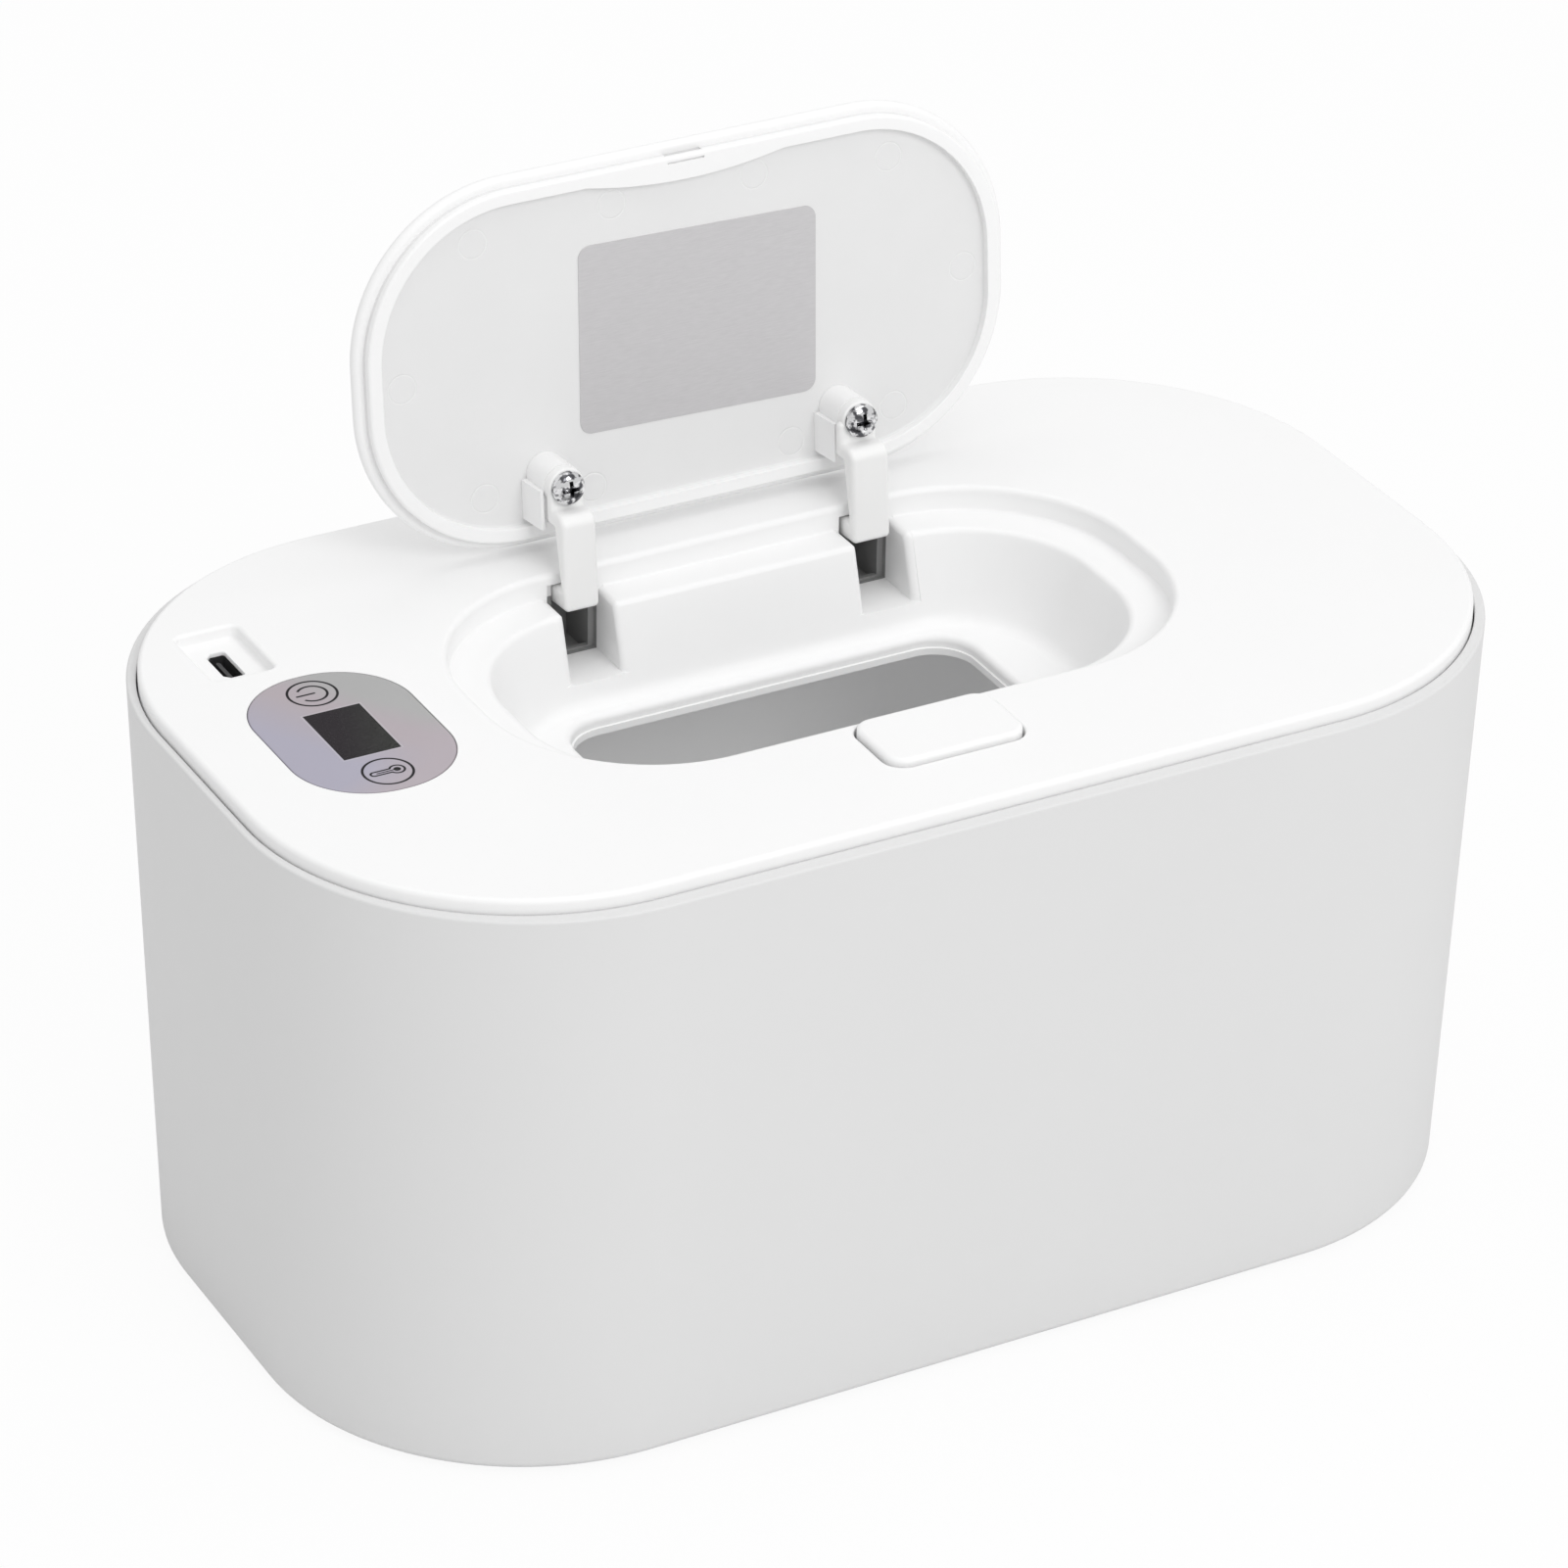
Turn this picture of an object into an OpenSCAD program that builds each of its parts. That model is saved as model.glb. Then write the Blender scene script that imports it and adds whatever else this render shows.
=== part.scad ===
// Baby wipe warmer: a shell with a wipe tank, a lift-off heated cover and a sprung flip lid.
// Millimetres. +Z is up, +X runs along the length and -Y is the front, where the button is.
// The origin is on the surface under the feet, at the middle of the footprint.
// The lid is drawn open. Its pieces are modelled closed and swung back about the hinge axis.

/* [Shell] */
// Length of the shell at its rim
body_w = 200; // [196:1:212]
// Depth of the shell at its rim
body_d = 121.2; // [119:0.2:130]
// Corner radius of the shell at its rim
body_r = 45; // [43:0.5:48]
// Height of the shell from its underside to its rim
shell_h = 94.3; // [90:0.1:110]
// How far each end leans in from the rim to the underside
draft_x = 2.15; // [0.5:0.05:3]
// How far each long side leans in from the rim to the underside
draft_y = 3.3; // [0.5:0.05:4]
// How much smaller the corner radius is at the underside
draft_r = 2.9; // [1:0.1:4]
// Thickness of the shell wall
shell_t = 2.4; // [1.8:0.1:3]
// Thickness of the rim above the ledge, at the ends
rim_t_x = 1; // [0.9:0.1:1.8]
// Thickness of the rim above the ledge, at the front and back
rim_t_y = 2.3; // [1.8:0.1:2.6]
// Rounding of the rim's outer edge
rim_round = 0.7; // [0.4:0.1:0.8]
// Rounding of the bottom edge
foot_round = 1.4; // [0.6:0.1:2.5]
// Depth from the rim down to the ledge that carries the tank
ledge_drop = 8; // [7:0.5:10]
// Thickness of the ledge
ledge_t = 2.2; // [1.6:0.1:3]

/* [Base] */
// How far the rubber feet lift the shell
foot_lift = 0.8; // [0.4:0.1:2]
// Diameter of a foot
foot_w = 10; // [8:0.5:14]
// Depth of the foot's seat in the base plate
foot_seat = 0.8; // [0.4:0.1:1]
// Distance between the feet along the length
foot_span_w = 124; // [100:1:134]
// Distance between the feet across the depth
foot_span_d = 72; // [60:1:76]
// Thickness of the base plate
base_t = 2; // [1.6:0.1:3]
// Height of the screw posts above the base plate
post_h = 10; // [8:0.5:14]
// Diameter of a screw post
post_w = 8; // [7:0.5:9]

/* [Tank] */
// Gap between the ledge's inner edge and the tank wall
tank_gap = 0.4; // [0.2:0.1:0.8]
// Width of the ledge from the shell wall to the tank gap
ledge_w = 4; // [3.5:0.1:5]
// Thickness of the tank wall
tank_t = 1.5; // [1:0.1:2]
// Corner radius of the tank at its mouth
tank_r = 38; // [36:0.5:39]
// How far each tank wall leans in from mouth to floor
tank_draft = 4; // [2:0.1:5]
// Thickness of the tank flange
flange_t = 1.6; // [1.2:0.1:2.4]
// Height of the tank floor's underside above the base plate
tank_lift = 11.2; // [10.5:0.1:15]
// Length of the foam pad under the tank
pad_w = 136; // [100:1:140]
// Depth of the foam pad under the tank
pad_d = 68; // [50:1:70]
// Gap between the foam sleeve and the walls on either side of it
sleeve_gap = 0.3; // [0.2:0.1:0.6]

/* [Top panel] */
// Gap all round between the rim and the panel
seam_gap = 0.4; // [0.3:0.1:0.9]
// How far the panel stands above the rim
panel_rise = 2.2; // [1.5:0.1:3]
// Thickness of the panel
panel_t = 1.8; // [1.5:0.1:2.2]
// Rounding of the panel's top edge
panel_round = 0.8; // [0.4:0.1:1.2]
// Thickness of the panel's skirt
skirt_t = 1.6; // [1.2:0.1:2]
// Gap round the lid when it is closed
lid_gap = 0.5; // [0.4:0.05:0.8]
// Depth of the lid pocket down to its ledge
pocket_depth = 4; // [3.8:0.1:4.4]
// Rounding of the lid pocket's top edge
pocket_round = 1; // [0.9:0.1:1.2]
// Width of the ledge at the ends of the lid pocket
pocket_ledge_x = 6.6; // [5:0.1:8]
// Width of the ledge at the front and back of the lid pocket
pocket_ledge_y = 6.1; // [5.5:0.1:7]
// Depth of the bowl floor below the panel top
bowl_depth = 18.2; // [17:0.1:19]
// How far each end of the bowl leans in from ledge to floor
bowl_lean_x = 5.6; // [3:0.1:7]
// How far the bowl's front and back lean in from ledge to floor
bowl_lean_y = 4.6; // [4:0.1:5]
// Height of the curved foot of the bowl wall
bowl_foot = 3; // [2:0.1:4]
// Half length of the straight part at each end of the bowl
bowl_flat = 3.55; // [2.5:0.05:6]
// Width of the bowl floor at each end of the wipe opening
slot_edge_x = 9.15; // [7:0.05:12]
// Width of the bowl floor at the front and back of the wipe opening
slot_edge_y = 2.15; // [1.6:0.05:3]
// Corner radius of the wipe opening
slot_r = 7; // [5:0.5:9]
// Width of a hinge notch
notch_w = 8.4; // [8:0.1:9]
// Depth of the hinge notches below the panel top
notch_depth = 14.4; // [14.2:0.1:15]

/* [Inner cover] */
// Gap between the inner cover and the tank mouth
tray_gap = 1.4; // [1.2:0.1:2]
// Thickness of the inner cover's wall
tray_t = 1.2; // [1:0.1:1.6]
// Thickness of the inner cover's floor
tray_floor = 1.2; // [1:0.1:2]
// Thickness of the inner cover's flange
tray_flange = 1.4; // [1.2:0.1:2]
// Corner radius of the inner cover
tray_r = 34; // [32:0.5:34.5]
// Space between the bowl's underside and the inner cover's floor
tray_space = 0.2; // [0.2:0.1:2]
// How far the inner cover's lip shows inside the wipe opening
tray_lip = 0.3; // [0.2:0.1:1.5]
// Thickness of the silicone seal
seal_t = 1.4; // [1:0.1:2]
// Diameter of the posts that take the cover screws
boss_w = 6.4; // [6:0.1:7]

/* [Heater] */
// Width of the aluminium heat plate at each end of the wipe opening
heat_edge_x = 27.75; // [22:0.25:28.5]
// Width of the heat plate at the front and back of the wipe opening
heat_edge_y = 12.8; // [9:0.1:13.8]
// How far the heat plate stays back from the wipe opening
heat_in = 3; // [2:0.5:4]
// Corner radius of the heat plate
heat_r = 20; // [14:1:24]
// Thickness of the heat plate
heat_t = 1; // [0.8:0.1:1.5]
// Thickness of the heater film
film_t = 0.3; // [0.2:0.05:0.5]
// Bare edge of the heat plate round the film
film_edge = 3; // [2:0.5:5]

/* [Controls] */
// Length of the control panel along the depth
pill_l = 36.4; // [34:0.2:37]
// Width of the control panel
pill_w = 25; // [24:0.5:26]
// Corner radius of the control panel
pill_r = 12; // [9:0.5:12]
// Distance of the control panel's middle from the end of the shell
pill_end = 24.5; // [23.5:0.1:25]
// Thickness of the control panel's lens
pill_t = 0.6; // [0.4:0.1:0.8]
// Length of the display window
display_l = 14.2; // [12:0.2:16]
// Width of the display window
display_w = 9; // [8:0.2:10]
// Distance between the display's middle and each touch key
key_pitch = 12.7; // [12:0.1:13.2]
// Height of the space between the panel and the control board
board_space = 4.6; // [4:0.1:5]
// Thickness of the circuit boards
board_t = 1.2; // [1:0.1:1.6]

/* [USB socket] */
// Distance of the socket from the end of the shell
usb_end = 17.9; // [17.7:0.1:18.1]
// Distance of the socket from the back of the shell
usb_back = 30.8; // [30.6:0.1:31.6]
// Length of the recess across the depth
usb_recess_l = 14.6; // [13:0.2:15]
// Width of the recess
usb_recess_w = 9.9; // [9:0.1:10.5]
// Depth of the recess
usb_recess_depth = 2.1; // [1.8:0.1:2.4]
// Length of the socket's mouth
usb_l = 7.8; // [7.4:0.1:8]
// Width of the socket's mouth
usb_w = 3.1; // [2.8:0.1:3.2]
// Length of the socket below the recess floor
usb_h = 7.5; // [6.5:0.1:8]

/* [Lid] */
// Distance from each end of the lid to the end of the shell
lid_end = 44.9; // [44.5:0.1:47]
// Distance from the front and back of the lid to those of the shell
lid_side = 31.05; // [30.6:0.05:32.5]
// Half length of the straight part at each end of the lid
lid_flat = 3.75; // [2.5:0.05:6]
// Thickness of the rounded edge of the lid skin
lid_edge = 2; // [1.6:0.1:2.2]
// Thickness of the lid skin over the liner
lid_skin_t = 1.2; // [1:0.1:1.4]
// How far the liner's rim sits in from the lid's edge
liner_inset = 1.6; // [1.4:0.1:2.2]
// Width of the liner's rim
liner_rim = 2.2; // [1.6:0.1:3]
// Depth of the liner's face below its rim
liner_depth = 1.4; // [1:0.1:1.8]
// Length of the finger pad
pad_l = 33; // [28:1:40]
// How far the finger pad bulges in from the rim
pad_bulge = 1.7; // [1:0.1:3]
// Angle that the lid opens
open_angle = 95.1; // [88:0.1:96]
// Distance of the hinge axis behind the closed lid
axis_back = 5.88; // [5.6:0.02:6.2]
// Depth of the hinge axis below the panel top
axis_drop = 4.73; // [4.6:0.01:4.9]
// Distance of each hinge arm from the middle
arm_x = 25; // [22:0.1:28]
// Distance of the lid screws in from the lid's back edge
screw_in = 11.65; // [11.2:0.05:12.4]
// Length of the label
label_w = 40.2; // [30:0.2:42]
// Height of the label
label_d = 30; // [20:0.2:32]
// Turn of the label
label_turn = 1.6; // [0:0.1:2]

/* [Hinge arms] */
// Diameter of the lid posts
eye_w = 6.1; // [5.9:0.1:6.4]
// Thickness of an arm eye
eye_t = 1.7; // [1.4:0.1:2]
// Distance of the eye's outer face below the panel top
eye_drop = 10.1; // [9.6:0.1:10.4]
// Width of the arm
leg_w = 5.4; // [5:0.1:5.6]
// Thickness of the arm's leg at its front end
leg_t = 3.1; // [2.6:0.1:3.4]
// Thickness of the arm's leg at its back end
leg_t_back = 1.8; // [1.6:0.1:2.2]
// Clearance between the closed arm and the notch floor
leg_gap = 0.5; // [0.3:0.1:0.8]
// Height of the arm's foot, which turns up to the hub
foot_t = 3.3; // [2.3:0.1:3.3]
// How far the right arm's leg stands to the left of its eye
leg_shift = 0.9; // [0:0.1:1]
// Diameter of the hub on the hinge pin
hub_w = 5; // [4.6:0.1:5.4]
// Diameter of the hinge pin
pin_w = 2.4; // [2:0.1:2.6]

/* [Button] */
// Length of the release button
button_w = 22.4; // [20:0.2:24]
// Depth of the release button
button_d = 13.4; // [12:0.2:14]
// Corner radius of the release button
button_r = 3; // [2:0.1:4]
// How far the button stands above the panel
button_rise = 1; // [0.6:0.1:1.6]
// Gap round the button
button_gap = 0.4; // [0.3:0.05:0.6]
// Thickness of the wall between the button's hole and the lid pocket
button_wall = 0.8; // [0.7:0.1:1]
// Travel of the button
button_travel = 1.5; // [1:0.1:1.6]

/* [Fits] */
// Radial clearance of a pin or screw in its hole
fit_gap = 0.05; // [0.02:0.01:0.08]
// Gap between pieces that move past each other
move_gap = 0.3; // [0.2:0.05:0.4]

/* [Hidden] */
$fn = 64;
// Number of straight steps in a quarter of a moulded edge
edge_steps = 5;
eps = 0.01;

// Heights
rim_z = foot_lift + shell_h;
top_z = rim_z + panel_rise;
under_z = top_z - panel_t;
ledge_z = rim_z - ledge_drop;
base_top = foot_lift + base_t;
tank_floor_z = base_top + tank_lift;
flange_top = ledge_z + flange_t;
seal_top = flange_top + seal_t;
tray_top = seal_top + tray_flange;
pocket_z = top_z - pocket_depth;
bowl_z = top_z - bowl_depth;
tray_floor_top = bowl_z - panel_t - tray_space;
tray_z = tray_floor_top - tray_floor;
notch_z = top_z - notch_depth;
axis_z = top_z - axis_drop;

// Shell outline at the rim and at the underside
inner_w = body_w - 2 * shell_t;
inner_d = body_d - 2 * shell_t;
inner_r = body_r - shell_t;
lid_w = body_w - 2 * lid_end;
lid_d = body_d - 2 * lid_side;
lid_r = lid_d / 2 - lid_flat;
axis_y = lid_d / 2 + axis_back;
screw_y = lid_d / 2 - screw_in;
base_w = body_w - 2 * draft_x;
base_d = body_d - 2 * draft_y;
base_r = body_r - draft_r;
post_x = base_w / 2 - base_r + (base_r - post_w / 2 - shell_t + 1) * cos(45);
post_y = base_d / 2 - base_r + (base_r - post_w / 2 - shell_t + 1) * sin(45);

// Tank and inner cover outlines
tank_w = inner_w - 2 * ledge_w - 2 * tank_gap;
tank_d = inner_d - 2 * ledge_w - 2 * tank_gap;
tray_w = tank_w - 2 * tank_t - 2 * tray_gap;
tray_d = tank_d - 2 * tank_t - 2 * tray_gap;

// Mouth of the rim, panel, lid pocket and bowl outlines
rim_in_w = body_w - 2 * rim_t_x;
rim_in_d = body_d - 2 * rim_t_y;
rim_in_r = body_r - (rim_t_x + rim_t_y) / 2;
panel_w = rim_in_w - 2 * seam_gap;
panel_d = rim_in_d - 2 * seam_gap;
panel_r = rim_in_r - seam_gap;
pocket_w = lid_w + 2 * lid_gap;
pocket_d = lid_d + 2 * lid_gap;
pocket_r = lid_r + lid_gap;
bowl_w = pocket_w - 2 * pocket_ledge_x;
bowl_d = pocket_d - 2 * pocket_ledge_y;

bowl_r = bowl_d / 2 - bowl_flat;
slot_w = bowl_w - 2 * bowl_lean_x - 2 * slot_edge_x;
slot_d = bowl_d - 2 * bowl_lean_y - 2 * slot_edge_y;
heat_w = slot_w + 2 * heat_edge_x;
heat_d = slot_d + 2 * heat_edge_y;

// Cover screws: one near each corner, two at the back and two beside the button
boss_gap = 1.5;
boss_end = 32;
boss_side = 26.6;
boss_y = tray_d / 2 - tray_t - boss_w / 2 - boss_gap;
boss_front_x = button_w / 2 + 14.8;
boss_back_x = arm_x + 13;
boss_places = concat(
    [for (x = [-1, 1], y = [-1, 1]) [x * (body_w / 2 - boss_end), y * (body_d / 2 - boss_side)]],
    [for (s = [-1, 1]) [s * boss_back_x, boss_y]],
    [for (s = [-1, 1]) [s * boss_front_x, -boss_y]]);
boss_depth = 11;
screw_r = 1.3;
screw_head_r = 2.5;
screw_head_t = 1.8;

// Control board
board_top = under_z - board_space;
board_l = pill_l + 1.6;
board_w = pill_w;
board_screw_in = 3.2;
board_screw_x = board_w / 2 - board_screw_in;
board_screw_y = board_l / 2 - board_screw_in;
pill_x = body_w / 2 - pill_end;
sensor_at = [-(heat_w / 2 - 10), -10];
sensor_h = 4;
fuse_at = [-(heat_w / 2 - 9), 12];
fuse_l = 10;
lead_r = 0.6;
lead_x = -pill_x + board_w / 2 - 3;
fuse_r = tray_floor + lead_r + 0.1;

// Socket
usb_x = -(body_w / 2 - usb_end);
usb_y = body_d / 2 - usb_back;
usb_floor_z = top_z - usb_recess_depth;
usb_wall = 0.3;
usb_skin = 0.6;
usb_cut = 0.9;
usb_bottom = usb_floor_z - usb_h;
usb_board_top = usb_bottom;

// Lid heights, with the lid closed flush with the panel
lid_seat_gap = 0.15;
lid_bottom = pocket_z + lid_seat_gap;
edge_z = top_z - lid_edge;
liner_z = lid_bottom + liner_depth;
skin_z = top_z - lid_skin_t;
eye_z = top_z - eye_drop;
leg_z = notch_z + leg_gap;
leg_end = axis_y + 1.15;
lid_screw_head_r = 2.7;
lid_screw_head_t = 1.7;
lid_screw_r = 1.3;
rib_foot = 1;
rib_tip = 0.5;
rib_l = 6.3;
rib_h = 5.8;
rib_x = leg_w / 2 + 0.28;

// Button, latch slider and the well that holds them
button_y = -(pocket_d / 2 + button_wall + button_gap + button_d / 2);
button_t = 1.3;
button_under = top_z + button_rise - button_t;
well_w = button_w + 4;
well_t = 1.4;
well_z = pocket_z - panel_t - 1.3;
well_front = button_y - button_d / 2 - button_gap - 1.4;
slider_w = 9;
slider_top = pocket_z + 1.85;
slider_z = well_z + eps;
nose_w = 5.6;
nose_t = 0.7;
latch_w = 6.2;
latch_bar = 0.45;
latch_slit = 0.6;
nose_tip = -(lid_d / 2 - liner_inset - latch_bar - latch_slit + 0.15);
slider_back = -(pocket_d / 2 + button_wall + 0.9);
slider_front = slider_back - 10;
stem_w = 5;
stem_back = slider_back - 4.3;
stem_front = stem_back - 2.5;
stem_z = slider_z + button_travel + 0.4;
ramp_gap = 0.14;

// Flat outline with rounded corners, centred on the origin
module outline(w, d, r, steps = 64) {
    x = w / 2 - r;
    y = d / 2 - r;
    union() {
        square([w, 2 * y], center = true);
        square([2 * x, d], center = true);
        for (sx = [-1, 1], sy = [-1, 1]) translate([sx * x, sy * y]) circle(r, $fn = steps);
    }
}

// Plate with rounded corners, standing on its own z
module plate(w, d, r, h) {
    linear_extrude(h) outline(w, d, r);
}

// Thin slice used as one step of a tapered form
module slice(w, d, r, z) {
    translate([0, 0, z]) linear_extrude(eps) outline(w, d, r, 96);
}

// Upright ring between two rounded outlines
module ring(w, d, r, t, h) {
    linear_extrude(h) difference() {
        outline(w, d, r);
        outline(w - 2 * t, d - 2 * t, r - t);
    }
}

// Flat section of an edge with its top corner rounded, and its bottom one too if both is true
function edge_profile(e, h, both) = concat(
    both ? [for (i = [0:edge_steps]) let (a = -90 + 90 * i / edge_steps) [e * cos(a), e + e * sin(a)]]
        : [[e, 0]],
    [for (i = [0:edge_steps]) let (a = 90 * i / edge_steps) [e * cos(a), h - e + e * sin(a)]],
    [[0, h], [0, 0]]);

// Plate whose outer edge is rounded
module soft_plate(w, d, r, h, e, both = false) {
    x = w / 2 - r;
    y = d / 2 - r;
    profile = edge_profile(e, h, both);
    linear_extrude(h) outline(w - 2 * e, d - 2 * e, r - e);
    for (c = [[x, y, 0], [-x, y, 90], [-x, -y, 180], [x, -y, 270]])
        translate([c[0], c[1], 0]) rotate([0, 0, c[2]])
            rotate_extrude(angle = 90, $fn = 64) translate([r - e - eps, 0]) polygon(profile);
    for (c = [[w / 2 - e - eps, 0, 0, y], [-(w / 2 - e - eps), 0, 180, y],
        [0, d / 2 - e - eps, 90, x], [0, -(d / 2 - e - eps), 270, x]])
        translate([c[0], c[1], 0]) rotate([90, 0, c[2]])
            translate([0, 0, -c[3]]) linear_extrude(2 * c[3]) polygon(profile);
}

// Hollow of depth h whose mouth is rounded over by e
module soft_hollow(w, d, r, h, e) {
    x = w / 2 - r;
    y = d / 2 - r;
    mouth = concat(
        [for (i = [0:edge_steps]) let (a = 180 - 90 * i / edge_steps) [e + e * cos(a), h - e + e * sin(a)]],
        [[e, h + 1], [-eps, h + 1], [-eps, h - e]]);
    plate(w, d, r, h + 1);
    for (c = [[x, y, 0], [-x, y, 90], [-x, -y, 180], [x, -y, 270]])
        translate([c[0], c[1], 0]) rotate([0, 0, c[2]])
            rotate_extrude(angle = 90, $fn = 64) translate([r, 0]) polygon(mouth);
    for (c = [[w / 2, 0, 0, y], [-w / 2, 0, 180, y], [0, d / 2, 90, x], [0, -d / 2, 270, x]])
        translate([c[0], c[1], 0]) rotate([90, 0, c[2]])
            translate([0, 0, -c[3]]) linear_extrude(2 * c[3]) polygon(mouth);
}

// Outline of the socket's mouth, narrower on its outer side and grown by g
module mouth_outline(g) {
    w = usb_w / 2 + g;
    l = usb_l / 2 + g;
    polygon([[w, -l], [w, l], [usb_cut - w, l], [-w, l - usb_cut], [-w, usb_cut - l], [usb_cut - w, -l]]);
}

// Swings a piece from closed to the open pose in which the part is drawn
module opened() {
    translate([0, axis_y, axis_z]) rotate([-open_angle, 0, 0]) translate([0, -axis_y, -axis_z]) children();
}

// Pan-head screw standing upright with its head at the bottom
module screw(head_r, head_t, shank_r, shank_l) {
    difference() {
        union() {
            cylinder(h = head_t * 0.4, r1 = head_r * 0.8, r2 = head_r);
            translate([0, 0, head_t * 0.4]) cylinder(h = head_t * 0.6, r = head_r);
            cylinder(h = head_t + shank_l, r = shank_r);
        }
        for (a = [0, 90]) rotate([0, 0, a])
            translate([-head_r * 0.55, -head_r * 0.12, -eps])
                cube([head_r * 1.1, head_r * 0.24, head_t * 0.5]);
    }
}

// Round wire through a list of points
module wire(points, r) {
    for (i = [0:len(points) - 2]) {
        a = points[i];
        b = points[i + 1];
        d = b - a;
        l = norm(d);
        translate(a) rotate([0, acos(d[2] / l), atan2(d[1], d[0])]) cylinder(h = l, r = r, $fn = 24);
    }
    for (i = [1:1:len(points) - 2]) translate(points[i]) sphere(r, $fn = 24);
}

// Tapered wall with a rim, a ledge for the tank and four screw posts, open at the bottom
module outer_shell() {
    color("white") difference() {
        union() {
            difference() {
                hull() {
                    slice(base_w - 2 * foot_round, base_d - 2 * foot_round, base_r - foot_round, foot_lift);
                    slice(base_w - 0.5 * foot_round, base_d - 0.5 * foot_round, base_r,
                        foot_lift + 0.4 * foot_round);
                    slice(base_w + 0.03 * draft_x, base_d + 0.03 * draft_y, base_r, foot_lift + foot_round);
                    slice(body_w - 0.02, body_d - 0.02, body_r, rim_z - rim_round);
                    slice(body_w - 0.6 * rim_round, body_d - 0.6 * rim_round, body_r - 0.3 * rim_round,
                        rim_z - 0.3 * rim_round);
                    slice(body_w - 2 * rim_round, body_d - 2 * rim_round, body_r - rim_round, rim_z - eps);
                }
                hull() {
                    slice(base_w - 2 * shell_t, base_d - 2 * shell_t, base_r - shell_t, foot_lift - 1);
                    slice(inner_w, inner_d, inner_r, rim_z + 1);
                }
            }
            translate([0, 0, ledge_z - ledge_t])
                ring(inner_w + shell_t, inner_d + shell_t, inner_r + shell_t / 2,
                    ledge_w + shell_t / 2, ledge_t);
            for (sx = [-1, 1], sy = [-1, 1]) translate([sx * post_x, sy * post_y, base_top])
                cylinder(h = post_h, r = post_w / 2);
        }
        for (sx = [-1, 1], sy = [-1, 1]) translate([sx * post_x, sy * post_y, base_top - 1])
            cylinder(h = post_h - 1, r = screw_r + fit_gap);
        translate([0, 0, ledge_z]) plate(rim_in_w, rim_in_d, rim_in_r, ledge_drop + 1);
    }
}

// Flat plate that closes the bottom of the shell
module base_plate() {
    gap = 0.25;
    color("gainsboro") difference() {
        translate([0, 0, foot_lift])
            plate(base_w - 2 * shell_t - 2 * gap, base_d - 2 * shell_t - 2 * gap,
                base_r - shell_t - gap, base_t);
        for (sx = [-1, 1], sy = [-1, 1]) {
            translate([sx * foot_span_w / 2, sy * foot_span_d / 2, foot_lift - 1])
                cylinder(h = 1 + foot_seat, r = foot_w / 2 + fit_gap);
            translate([sx * post_x, sy * post_y, foot_lift - 1])
                cylinder(h = base_t + 2, r = screw_r + 2 * fit_gap);
            translate([sx * post_x, sy * post_y, foot_lift - 1])
                cylinder(h = 1 + base_t / 2, r = screw_head_r + 2 * fit_gap);
        }
    }
}

// Screws up through the base plate into the shell's posts
module base_screws() {
    head = base_t / 2 - 0.1;
    color("silver") for (sx = [-1, 1], sy = [-1, 1])
        translate([sx * post_x, sy * post_y, foot_lift + base_t / 2 - head])
            screw(screw_head_r, head, screw_r, base_t / 2 + post_h - 3);
}

// Four round rubber feet glued into their seats
module rubber_feet() {
    color("dimgray") for (sx = [-1, 1], sy = [-1, 1])
        translate([sx * foot_span_w / 2, sy * foot_span_d / 2, 0])
            cylinder(h = foot_lift + foot_seat, r = foot_w / 2);
}

// Foam pad that carries the tank floor
module foam_pad() {
    color("whitesmoke") translate([0, 0, base_top])
        plate(pad_w, pad_d, pad_d / 3, tank_lift);
}

// Foam sleeve between the tank and the shell, resting on the screw posts
module foam_sleeve() {
    low = base_top + post_h;
    high = ledge_z - ledge_t - sleeve_gap;
    g = 2 * sleeve_gap;
    lean_low = (rim_z - low) / shell_h;
    lean_high = (rim_z - high) / shell_h;
    color("lightgray") difference() {
        hull() {
            slice(inner_w - 2 * draft_x * lean_low - g, inner_d - 2 * draft_y * lean_low - g,
                inner_r - draft_r * lean_low - sleeve_gap, low);
            slice(inner_w - 2 * draft_x * lean_high - g, inner_d - 2 * draft_y * lean_high - g,
                inner_r - draft_r * lean_high - sleeve_gap, high - eps);
        }
        hull() {
            slice(tank_w - 2 * tank_draft + g, tank_d - 2 * tank_draft + g,
                tank_r - tank_draft + sleeve_gap, low - 1.5);
            slice(tank_w + g, tank_d + g, tank_r + sleeve_gap, high + ledge_t);
        }
    }
}

// Tub that holds the wipes, hung by its flange on the shell's ledge
module wipe_tank() {
    color("lightgray") difference() {
        union() {
            hull() {
                slice(tank_w - 2 * tank_draft - 3, tank_d - 2 * tank_draft - 3,
                    tank_r - tank_draft - 1.5, tank_floor_z);
                slice(tank_w - 2 * tank_draft, tank_d - 2 * tank_draft, tank_r - tank_draft,
                    tank_floor_z + 1.5);
                slice(tank_w, tank_d, tank_r, ledge_z);
            }
            translate([0, 0, ledge_z])
                plate(inner_w - 1.2, inner_d - 1.2, inner_r - 0.6, flange_t);
        }
        hull() {
            slice(tank_w - 2 * tank_draft - 2 * tank_t, tank_d - 2 * tank_draft - 2 * tank_t,
                tank_r - tank_draft - tank_t, tank_floor_z + tank_t);
            slice(tank_w - 2 * tank_t, tank_d - 2 * tank_t, tank_r - tank_t, flange_top + 1);
        }
    }
}

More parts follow.
